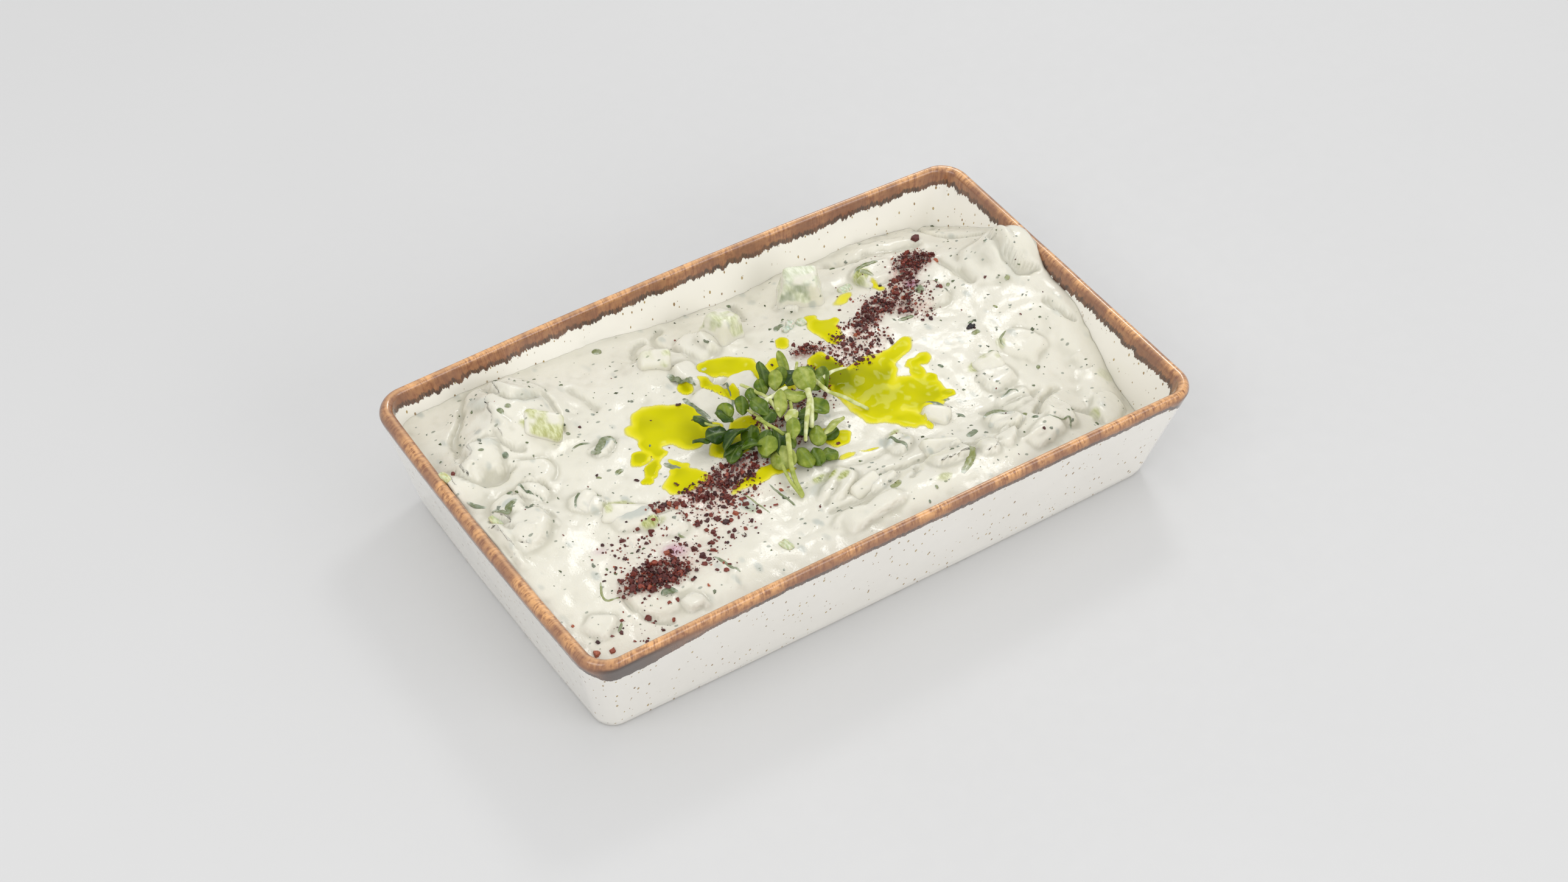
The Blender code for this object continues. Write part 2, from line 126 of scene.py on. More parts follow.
# furrows where one lump meets the next: points, half width, depth
FURROWS = (
    (((-85, 26), (-83, 18.5), (-79.5, 16.2), (-74, 16), (-67, 17.8)), 1.3, 1.3),
    (((-82, 19), (-79, 27), (-76, 33), (-70, 41), (-66, 49)), 1.5, 1.5),
    (((-69, 29), (-68.5, 24), (-66, 20.8), (-62.5, 20.4)), 1.2, 1),
    (((-76, 28.5), (-72, 28), (-69.5, 26)), 1, 0.7),
    (((-60.5, 46), (-62.3, 40), (-60.3, 34.5), (-55, 33.8), (-50.5, 36)), 1, 0.9),
    (((-50, 37), (-50.6, 30), (-51.4, 21.5)), 0.9, 1),
    (((-81, 8.5), (-76, 9.8), (-71.5, 10.6), (-66.5, 8), (-64.5, 5)), 1, 0.9),
    (((-71.5, 9.5), (-70.6, 5), (-69, 1.5)), 0.8, 0.8),
    (((-73.5, 1), (-71, -3), (-71.8, -7.5), (-75, -9.6)), 1, 0.9),
    (((-85, 4), (-82.5, 0), (-82, -5)), 1, 0.8),
    (((-69.5, -33), (-69, -39), (-66.5, -44), (-62, -46.5)), 1.1, 0.8),
    (((-10, 33), (-13, 38), (-12, 44), (-7, 47.5)), 1.6, 1),
    (((-23, 35), (-19, 42), (-14, 44.5)), 1.5, 0.9),
    (((40, 46), (48, 41.5), (60, 38.2), (68, 37)), 2.4, 1.4),
    (((76, 50), (74, 43), (78, 34), (84, 27)), 1.6, 1.2), (((66.5, 30), (67.5, 21), (69, 13)), 1.4, 1),
    (((79.5, 24), (77.5, 17), (80, 10.5), (85.5, 6.5)), 1.3, 1.5),
    (((79.2, -1), (80.6, -6), (83.5, -12)), 1, 1), (((40, -25.3), (52, -26.5), (62, -26.5)), 1.4, 0.8),
    (((49.5, -37.5), (54, -33), (60, -29.5), (66, -26)), 1.2, 1.4),
    (((61, -29), (62.5, -35), (67, -38), (67.5, -44)), 1.3, 1),
    (((4, -33.5), (9, -33), (16, -34), (25, -33.6)), 1.2, 1.1),
    (((-13, -37), (-7, -38.3), (0, -37.6), (5, -36)), 1.3, 0.8),
    (((9, -40.5), (12, -38.5), (14, -35.2)), 1, 0.8), (((-12, -35.5), (-8, -32), (-5, -29)), 1, 0.6),
    (((0, -25), (12, -25.8), (20, -24.5)), 1.3, 0.5),
    (((34.5, -35.5), (36, -37.5), (42, -37.4), (47, -35.8)), 1, 1.1),
    (((29, -35), (33, -38), (36, -42)), 0.9, 0.8), (((-42.5, 38), (-41.5, 31), (-40, 25)), 1.8, 0.6),
    (((13.5, 47), (13.4, 42), (9, 37)), 1.4, 0.9),
)
# ridges, in the same way
SWEEPS = (
    (((-85, 2), (-84, -6), (-83.5, -15)), 1.2, 0.7), (((-82, -4), (-79, -6), (-77, -7.5)), 1, 0.5),
    (((-67, 36), (-66, 31), (-65.3, 26)), 1.2, 0.8), (((-57, 28.6), (-55.5, 26.8), (-53, 25.4)), 0.9, 0.9),
    (((-14.5, -43.5), (-11, -41), (-5, -40.4)), 1, 0.6), (((-2, 27.5), (-3.8, 31), (-4, 35)), 1, 0.9),
    (((21, 36.5), (23, 33), (25, 30.8)), 1, 0.8), (((40, -43.3), (45, -42.8), (49, -44)), 0.9, 0.6),
    (((-56, -42), (-54.5, -44.5), (-53.8, -48)), 0.6, 0.6),
    (((48.5, -15), (49, -17), (48.7, -19)), 1.2, 0.5), (((77.5, -18), (78, -21), (78, -24)), 1.6, 0.5),
    (((-42, -41.5), (-45, -44), (-45, -47)), 1, 0.4),
)
GRID_X, GRID_Y = 336, 200
LUMP_RISE = 1.35          # how strongly lumps and furrows stand out
FURROW_RISE = 1.4
FURROW_SPREAD = 0.8
CRUMB_CROWDING = 1.3      # crumbs for each one in the table
LEAF_SHELL = 0.34         # thickness of a leaf
OIL_GRID = 0.42
OIL_RISE = 0.26           # height of the oil over the yoghurt, well inside its edge
OIL_DEPTH = 0.6
# sumac: x, y, half length, half width, turn, number of crumbs, their size
SUMAC_PATCHES = (
    (-60.5, -32.6, 9.2, 4.4, 0, 330, 0.96), (-58.5, -35, 6, 3, 0, 120, 0.85),
    (-57, -24, 12, 9, 0, 120, 0.85), (-49, -30.5, 6.5, 5.5, 0, 76, 0.85), (-70, -43, 13, 6, 20, 34, 0.85),
    (-48, -36, 9, 6, 0, 36, 0.85), (-44, -13.4, 6, 2.4, 0, 45, 0.85),
    (-35.5, -14.2, 6.5, 3.2, 0, 128, 0.85), (-25, -13.6, 8.4, 4.4, 0, 267, 0.85),
    (-36, -19, 9, 5.5, 0, 132, 0.85), (-28, -19.5, 8, 4, 0, 76, 0.85), (-36, -27.5, 9, 6.5, 0, 56, 0.85),
    (-24, -24, 8, 4.5, 0, 18, 0.85), (-6, -1.5, 5.5, 4, 0, 142, 0.72), (2.5, 0.5, 4, 4, 0, 100, 0.72),
    (-4.5, -11.5, 3, 2, 0, 33, 0.72), (8, -3, 5, 4, 0, 33, 0.72), (12, 5.5, 2.6, 6.5, 0, 66, 0.72),
    (16, 15.2, 5, 2.3, -10, 108, 0.72), (24.5, 9, 5.5, 7, 0, 175, 0.72),
    (30.5, 14.5, 6, 4.5, 20, 100, 0.72), (36.5, 17, 4.4, 3.2, 20, 175, 0.72),
    (33.5, 8.5, 6, 3.4, 25, 66, 0.72), (42, 20.5, 4.4, 4, 20, 108, 0.72),
    (46.5, 18.5, 4.2, 5.5, 10, 184, 0.72), (50.5, 12.5, 4.6, 3.4, 0, 58, 0.72),
    (52.5, 24, 5, 4, 35, 108, 0.72), (57.5, 29, 5.5, 4.2, 35, 201, 0.72), (62, 31, 4.6, 4.4, 10, 217, 0.72),
    (55, 19, 6, 4.5, 0, 49, 0.72), (47, 30, 16, 7, 20, 24, 0.72), (38, 24, 9, 4, 20, 21, 0.72),
    (0, 0, 84, 47, 0, 60, 0.9),
)
# larger flakes: x, y, size, tone
FLAKES = (
    (-83.3, -45, 2.6, 0.98), (-79.5, -46.2, 1.9, 0.8), (-83.8, -35.3, 1.2, 1), (-31.9, -25, 2.2, 0.85),
    (-39, -23.3, 1.9, 0.1), (-41.7, -23, 2, 0.1), (-35.6, -26.2, 2.6, 0), (-62.7, -24, 1.8, 0.1),
    (-44, -13.6, 2.2, 0.8), (-47.5, -14.4, 2, 0.9), (-45.7, -13.6, 2.2, 0.2), (-18.2, -24, 1.4, 0.9),
    (67.6, 39, 3.4, 0.25), (36.2, 6.2, 2.4, 0.05), (66, 27.6, 1.8, 1), (50.4, 24.4, 1.8, 0.9),
    (-50.8, -42, 1.2, 1), (-61.6, -42, 1.5, 0.7), (-59.4, -42, 1.6, 0.5), (-30.3, -29.3, 1.6, 0.1),
    (-35.5, -29.8, 1.5, 0.1), (-37.2, -31.5, 1.9, 0.3), (-43.4, -32.6, 2, 0.5), (-66.7, -47.6, 1.4, 0.2),
    (71.1, 12.9, 1.3, 0.3), (37.6, 26.5, 1.3, 0.7), (32.5, 24.4, 1.2, 0.2), (-47.6, 22, 1.1, 0.1),
    (-75.3, -43, 1.4, 0.2), (-73.3, -39.8, 1.2, 0.5), (58, -0.4, 0.8, 0.1),
)
# oil: for each puddle its lobes, x, y, half length, half width, turn, strength
OIL_PUDDLES = (
    ((-31.5, 12.5, 8, 7, 20, 1), (-26, 9, 6.5, 8, -20, 1), (-36.5, 7, 3, 4, 0, 0.9),
     (-25.5, 3, 4.6, 4, 10, 0.9), (-41.5, 3.2, 3.6, 2.4, 0, 0.75), (-40, -1.5, 4.6, 2, 35, 0.8),
     (-43.7, -4.4, 1.6, 1.5, 0, 0.8), (-35.8, 3.2, 2.4, 2.4, 0, 0.8), (-34, -3.5, 1.2, 3.6, 20, 0.5),
     (-22, 13.5, 3.2, 2.6, 30, 0.9)),
    ((-36.5, -9, 5.6, 3.4, 0, 0.95), (-35, -6, 2.4, 2.6, 30, 0.6)),
    ((-4.5, 22, 7.6, 4.4, -25, 1), (1.2, 16, 2, 8, 10, 0.9), (-11.2, 15.5, 2, 6.4, 18, 0.9),
     (-9.5, 12.6, 1.7, 3.2, 20, 0.9), (-7, 25, 3, 2.6, 0, 0.9)),
    ((-17.6, 20.6, 2.4, 2.6, 30, 0.7),),
    ((12.2, 21.6, 1.9, 3.2, -10, 0.75),),
    ((24.8, 20, 3.4, 4.8, 10, 0.95), (27.5, 21.8, 2.6, 2, 20, 0.9), (24.4, 15.6, 2, 2.2, 0, 0.8),
     (24.2, 26, 2.2, 2.6, 0, 0.4)),
    ((16.6, 8, 4.4, 5.2, 0, 1.1), (17.2, 2, 4.8, 4, 0, 1.1), (16, -3, 3.6, 4, 0, 1)),
    ((20, -9, 8, 9, 0, 1), (30.5, -12.5, 8.6, 6.4, -8, 1), (24, -1.5, 9, 6.5, 20, 1),
     (34, 2.2, 8, 2.6, 18, 0.75), (38, -2.8, 4.8, 1.8, 10, 0.55), (35.5, -6, 1.8, 3.2, -10, 0.7),
     (38, -16, 2.4, 1.6, -20, 0.8), (23, -19, 5, 3.2, -25, 0.8), (37.5, -9.6, 1.8, 1.6, 0, 0.8),
     (26.5, -22.8, 2, 1.8, 0, 0.45)),
    ((4.4, -15.6, 3.8, 2.7, 10, 0.9), (3, -13.5, 3, 2, 0, 0.8)),
    ((-18.5, -4.6, 7, 4.8, 0, 0.95), (-13.5, -0.5, 4.2, 3.6, 0, 0.95), (-20.5, 4, 3, 3, 0, 0.9)),
    ((-22, -18.4, 8, 1.9, 2, 0.75), (-14, -19.4, 4, 1.4, 0, 0.7)),
    ((6, 15.2, 3, 2.6, 20, 0.8), (3.6, 8, 3, 4, 0, 0.8)),
    ((2.6, -22, 3, 0.9, -6, 0.35), (8.6, -22.8, 2.6, 0.6, -8, 0.3)),
    ((46.5, 27, 2, 3.4, 15, 0.4), (36, 28.5, 5, 2.2, 20, 0.28)),
)
# where the oil thins out at its edge
SOFT_OIL = (
    (43, 6, 5, 8, 15, 70), (38, -5, 5, 6, 0, 30), (-35, 14, 5, 4, 0, 10), (-42, 0, 4, 6, 0, 20),
    (26, -21, 8, 3, 0, 20), (46.5, 27, 4, 5, 0, 30),
)
# where the oil stands deepest, beside the sprouts
DEEP_OIL = (
    (26, -8, 12, 10, 0, 60), (16.5, 4.5, 5.5, 9.5, 0, 60), (-20, -4.5, 5, 4, 0, 14),
    (-25.5, 6, 4, 6, -20, 10),
)


def smooth(low, high, value):
    """0 below low, 1 above high, with a soft step between them."""
    share = np.clip((value - low) / (high - low), 0.0, 1.0)
    return share * share * (3.0 - 2.0 * share)


def noise(points, scale, seed):
    """Smooth noise from -1 to 1 at points of shape (n, 2) or (n, 3)."""
    place = np.asarray(points, float) / scale
    cell = np.floor(place).astype(np.int64)
    share = place - cell
    share = share * share * (3.0 - 2.0 * share)
    primes = (374761393, 668265263, 1103515245)
    total = np.zeros(len(place))
    for corner in itertools.product((0, 1), repeat=place.shape[1]):
        key = np.full(len(place), seed * 912931, np.int64)
        weight = np.ones(len(place))
        for axis, side in enumerate(corner):
            key = key + (cell[:, axis] + side) * primes[axis]
            weight = weight * (share[:, axis] if side else 1.0 - share[:, axis])
        key = key & 0x7FFFFFFF
        key = ((key ^ (key >> 13)) * 1274126177) & 0x7FFFFFFF
        key = ((key ^ (key >> 15)) * 668265263) & 0x7FFFFFFF
        total += weight * ((key ^ (key >> 16)) / 0x3FFFFFFF - 1.0)
    return total


def flat(x, y):
    return np.column_stack([np.ravel(x), np.ravel(y)])


def curve_through(ticks, rows, at):
    """Smooth curve through rows of values given at ticks. Each column of rows has its own place in at."""
    ticks = np.asarray(ticks, float)
    last = len(ticks) - 1
    cell = np.clip(np.searchsorted(ticks, at) - 1, 0, last - 1)
    t = np.clip((at - ticks[cell]) / (ticks[cell + 1] - ticks[cell]), 0.0, 1.0)
    pick = np.arange(len(at))
    before, here, there, after = (rows[np.clip(cell + k, 0, last), pick] for k in (-1, 0, 1, 2))
    bend = 2 * before - 5 * here + 4 * there - after
    twist = 3 * here - before - 3 * there + after
    return 0.5 * (2 * here + (there - before) * t + bend * t ** 2 + twist * t ** 3)


def turned(x, y, centre_x, centre_y, half_long, half_wide, turn):
    """Place of points in an ellipse's own frame, 1 on its outline."""
    angle = math.radians(turn)
    along = ((x - centre_x) * math.cos(angle) + (y - centre_y) * math.sin(angle)) / half_long
    across = ((y - centre_y) * math.cos(angle) - (x - centre_x) * math.sin(angle)) / half_wide
    return along, across


def dip_level(x, y):
    """Height of the CAD dip's surface at arrays of places."""
    rows = np.array([curve_through(LEVEL_X, np.tile(np.array(row)[:, None], len(x)), x) for row in LEVELS])
    z = curve_through(LEVEL_Y, rows, y)
    for *oval, rise in MOUNDS:
        along, across = turned(x, y, *oval)
        z = z + rise * np.exp(-(along ** 2 + across ** 2) ** 1.5)
    return z


def spline_points(points, count):
    """Points evenly spread in share along a smooth curve through the given ones."""
    points = np.array(points, float)
    ticks = np.linspace(0.0, 1.0, len(points))
    at = np.linspace(0.0, 1.0, count)
    return np.column_stack([curve_through(ticks, np.tile(points[:, k][:, None], count), at)
                            for k in range(points.shape[1])])


def distance_to_line(x, y, points):
    """Distance to a line of points and the share along it where it is nearest."""
    best = np.full(len(x), 1e9)
    share = np.zeros(len(x))
    for index, (a, b) in enumerate(zip(points[:-1], points[1:])):
        step = b - a
        t = np.clip(((x - a[0]) * step[0] + (y - a[1]) * step[1]) / (step @ step + 1e-9), 0.0, 1.0)
        gap = np.hypot(x - a[0] - t * step[0], y - a[1] - t * step[1])
        closer = gap < best
        best = np.where(closer, gap, best)
        share = np.where(closer, (index + t) / (len(points) - 1), share)
    return best, share


FURROW_LINES = [(spline_points(points, 22), width, -depth) for points, width, depth in FURROWS]
FURROW_LINES += [(spline_points(points, 14), width, height) for points, width, height in SWEEPS]


def surface(x, y):
    """Height of the yoghurt at arrays of places."""
    x, y = np.asarray(x, float), np.asarray(y, float)
    z = dip_level(x, y)
    place = flat(x, y)
    warp_x = x + 0.9 * noise(place, 6.0, 3) + 0.35 * noise(place, 2.2, 4)
    warp_y = y + 0.9 * noise(place, 6.0, 5) + 0.35 * noise(place, 2.2, 6)
    for centre_x, centre_y, half_long, half_wide, turn, rise, tilt, lean_over in LUMPS:
        near = (np.abs(x - centre_x) < 2.2 * half_long + 3) & (np.abs(y - centre_y) < 2.2 * half_wide + 8)
        if not near.any():
            continue
        along, across = turned(warp_x[near], warp_y[near], centre_x, centre_y, half_long, half_wide, turn)
        reach = (np.abs(along) ** 3.4 + np.abs(across) ** 3.4) ** (1.0 / 3.4)
        plate = LUMP_RISE * (rise + tilt * along * half_long + lean_over * across * half_wide)
        z[near] += plate * (1.0 - smooth(0.74, 1.12, reach))
    for points, width, height in FURROW_LINES:
        low, high = points.min(0) - 3.2 * width, points.max(0) + 3.2 * width
        near = (x > low[0]) & (x < high[0]) & (y > low[1]) & (y < high[1])
        if not near.any():
            continue
        gap, share = distance_to_line(warp_x[near], warp_y[near], points)
        fade = smooth(0.0, 0.18, share) * smooth(0.0, 0.18, 1.0 - share)
        z[near] += FURROW_RISE * height * fade * np.exp(-(gap / (FURROW_SPREAD * width)) ** 2)
    calm = 1.0 - 0.85 * np.exp(-((x - 82.0) ** 2 + (y - 17.0) ** 2) / 70.0)
    z += 0.42 * noise(place, 9.0, 11) + calm * (0.20 * noise(place, 3.6, 12) + 0.08 * noise(place, 1.7, 13))
    smear = noise(np.column_stack([x * 0.55 + y * 0.28, y * 0.8 - x * 0.25]), 2.4, 14)
    return z + 0.11 * calm * smear


def height_at(x, y):
    return float(surface([x], [y])[0])


# ---------------------------------------------------------------- meshes and materials
def net_index(rows, columns):
    return np.arange(rows * columns).reshape(rows, columns)


def net_faces(index):
    """Quads of a net of points, row by row."""
    return np.column_stack([index[:-1, :-1].ravel(), index[:-1, 1:].ravel(),
                            index[1:, 1:].ravel(), index[1:, :-1].ravel()])


def net_border(index):
    return np.concatenate([index[0, :-1], index[:-1, -1], index[-1, :0:-1], index[:0:-1, 0]])


def ring_faces(low, high, count):
    """Quads between two rings of count points, numbered from low and from high."""
    row = np.arange(count)
    after = (row + 1) % count
    return np.column_stack([low + row, low + after, high + after, high + row]).tolist()


def shell_faces(levels, sides):
    """Faces of a stack of rings that closes on two tips, numbered after the rings."""
    faces = []
    for level in range(levels - 1):
        faces.extend(ring_faces(level * sides, (level + 1) * sides, sides))
    row = np.arange(sides)
    after = (row + 1) % sides
    tip, high = levels * sides, (levels - 1) * sides
    faces.extend(np.column_stack([np.full(sides, tip), after, row]).tolist())
    faces.extend(np.column_stack([np.full(sides, tip + 1), high + row, high + after]).tolist())
    return faces


def build(name, verts, faces, mat, smooth_shade=True, floats=(), vectors=()):
    """A piece from points in millimetres that rides on the body, with its attributes."""
    mesh = bpy.data.meshes.new(name)
    mesh.from_pydata((np.asarray(verts, float) * MM).tolist(), [], [list(face) for face in faces])
    mesh.update()
    if smooth_shade:
        mesh.shade_smooth()
    for key, values in floats:
        mesh.attributes.new(key, "FLOAT", "POINT").data.foreach_set("value", np.asarray(values, np.float32))
    for key, values in vectors:
        layer = mesh.attributes.new(key, "FLOAT_VECTOR", "POINT")
        layer.data.foreach_set("vector", np.asarray(values, np.float32).ravel())
    item = bpy.data.objects.new(name, mesh)
    bpy.context.scene.collection.objects.link(item)
    mesh.materials.append(mat)
    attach(item, "root")
    return item


class Shade:
    """A material under construction."""

    def __init__(self, name):
        self.mat = bpy.data.materials.new(name)
        self.mat.use_nodes = True
        self.tree = self.mat.node_tree
        self.shader = self.tree.nodes["Principled BSDF"]

    def add(self, kind, inputs=None, **settings):
        node = self.tree.nodes.new(kind)
        for key, value in settings.items():
            setattr(node, key, value)
        for key, value in (inputs or {}).items():
            self.put(node.inputs[key], value)
        return node

    def put(self, socket, value):
        if isinstance(value, bpy.types.NodeSocket):
            self.tree.links.new(value, socket)
        elif isinstance(value, (tuple, list)) and len(value) == 3 and socket.type == "RGBA":
            socket.default_value = (*value, 1.0)
        else:
            socket.default_value = value

    def set(self, **values):
        for key, value in values.items():
            self.put(self.shader.inputs[key.replace("_", " ")], value)

    def place(self, scale=(1.0, 1.0, 1.0)):
        coords = self.add("ShaderNodeTexCoord").outputs["Object"]
        return self.math_vector("MULTIPLY", coords, tuple(value / MM for value in scale))

    def attribute(self, name, output="Fac"):
        return self.add("ShaderNodeAttribute", attribute_name=name).outputs[output]

    def math_vector(self, operation, a, b):
        return self.add("ShaderNodeVectorMath", {0: a, 1: b}, operation=operation).outputs[0]

    def stretch(self, place, *scale):
        return self.math_vector("MULTIPLY", place, scale)

    def math(self, operation, a, b=0.0, c=0.0, clamp=False):
        return self.add("ShaderNodeMath", {0: a, 1: b, 2: c}, operation=operation, use_clamp=clamp).outputs[0]

    def times(self, a, b, clamp=False):
        return self.math("MULTIPLY", a, b, clamp=clamp)

    def times_plus(self, a, b, c):
        return self.math("MULTIPLY_ADD", a, b, c)

    def noise(self, place, scale, detail=2.0, roughness=0.5, distortion=0.0):
        inputs = {"Vector": place, "Scale": scale, "Detail": detail, "Roughness": roughness,
                  "Distortion": distortion}
        return self.add("ShaderNodeTexNoise", inputs).outputs["Fac"]

    def range(self, value, low, high, to_low=0.0, to_high=1.0):
        inputs = {"Value": value, "From Min": low, "From Max": high, "To Min": to_low, "To Max": to_high}
        return self.add("ShaderNodeMapRange", inputs, interpolation_type="SMOOTHSTEP").outputs["Result"]

    def mix(self, factor, a, b):
        node = self.add("ShaderNodeMix", data_type="RGBA")
        self.put(node.inputs[0], factor)
        self.put(node.inputs[6], a)
        self.put(node.inputs[7], b)
        return node.outputs[2]

    def ramp(self, value, stops):
        """Colours at their places along a value, first and last place at the ends."""
        node = self.add("ShaderNodeValToRGB", {"Fac": value})
        elements = node.color_ramp.elements
        for element, (at, colour) in zip((elements[0], elements[1]), (stops[0], stops[-1])):
            element.position, element.color = at, (*colour, 1.0)
        for at, colour in stops[1:-1]:
            elements.new(at).color = (*colour, 1.0)
        return node.outputs["Color"]

    def bump(self, height, strength, distance):
        inputs = {"Height": height, "Strength": strength, "Distance": distance}
        return self.add("ShaderNodeBump", inputs).outputs["Normal"]


def flecks(shade, place, scale, share, size, soft):
    """Mask of scattered flecks: one in some cells, ragged at the edge."""
    inputs = {"Vector": place, "Scale": scale * 2.3, "Detail": 2.0}
    wobble = shade.add("ShaderNodeTexNoise", inputs).outputs["Color"]
    shift = shade.math_vector("SUBTRACT", wobble, (0.5, 0.5, 0.5))
    shift = shade.math_vector("MULTIPLY", shift, (0.16 / scale,) * 3)
    moved = shade.math_vector("ADD", place, shift)
    cells = shade.add("ShaderNodeTexVoronoi", {"Vector": moved, "Scale": scale})
    pick = shade.add("ShaderNodeSeparateColor", {"Color": cells.outputs["Color"]})
    radius = shade.times_plus(pick.outputs["Green"], size * 0.7, size * 0.45)
    spot = shade.math("SUBTRACT", radius, cells.outputs["Distance"])
    spot = shade.range(spot, 0.0, soft)
    chosen = shade.math("LESS_THAN", pick.outputs["Red"], share)
    return shade.times(spot, chosen), pick


def yoghurt_colour(shade, place):
    """Warm white that varies a little, with blurred greenish grey herb deep in it."""
    tone = shade.mix(shade.noise(place, 0.09, 3.0), (0.705, 0.680, 0.572), (0.805, 0.78, 0.685))
    squeezed = shade.stretch(place, 1.0, 0.62, 0.8)
    deep, _ = flecks(shade, squeezed, 0.26, 0.80, 0.34, 0.24)
    deep = shade.times(deep, shade.range(shade.noise(place, 0.07, 2.0), 0.32, 0.58))
    tone = shade.mix(shade.times(deep, 0.60), tone, (0.42, 0.46, 0.42))
    other = shade.stretch(place, 0.6, 1.0, 0.8)
    near, pick = flecks(shade, other, 0.46, 0.62, 0.19, 0.08)
    dark = shade.mix(pick.outputs["Blue"], (0.10, 0.13, 0.07), (0.24, 0.27, 0.22))
    return shade.mix(shade.times(near, 0.72), tone, dark)


def yoghurt_material():
    shade = Shade("yoghurt_look")
    place = shade.place()
    colour = yoghurt_colour(shade, place)
    dust = shade.range(shade.noise(place, 1.4, 3.0), 0.30, 0.62)
    powder = shade.times(shade.attribute("powder"), dust)
    colour = shade.mix(powder, colour, (0.52, 0.20, 0.17))
    colour = shade.mix(shade.attribute("stain"), colour, (0.42, 0.10, 0.27))
    tint = shade.times(shade.attribute("green"), 1.5, clamp=True)
    stretched = shade.stretch(place, 2.2, 0.7, 1.0)
    streaks = shade.range(shade.noise(stretched, 0.9, 3.0), 0.30, 0.70)
    flesh = shade.mix(streaks, (0.32, 0.35, 0.08), (0.58, 0.60, 0.30))
    colour = shade.mix(tint, colour, flesh)
    # painted shade: the grey veils of TINTS, shade seen through a thin coat
    colour = shade.mix(shade.attribute("grey"), colour, (0.40, 0.45, 0.42))
    # painted shade: the yoghurt's colour is darkened to a warm grey in the creases of its relief
    colour = shade.mix(shade.times(shade.attribute("crease_shade"), 0.60), colour, (0.50, 0.48, 0.38))
    rough = shade.range(shade.noise(place, 0.5, 3.0), 0.3, 0.75, 0.07, 0.20)
    grain = shade.noise(place, 1.6, 3.0, 0.6)
    shade.set(Base_Color=colour, Roughness=rough, IOR=1.45, Subsurface_Weight=0.2,
              Subsurface_Radius=(1.0, 0.92, 0.75), Subsurface_Scale=0.0007,
              Normal=shade.bump(grain, 0.4, 0.00016))
    return shade.mat


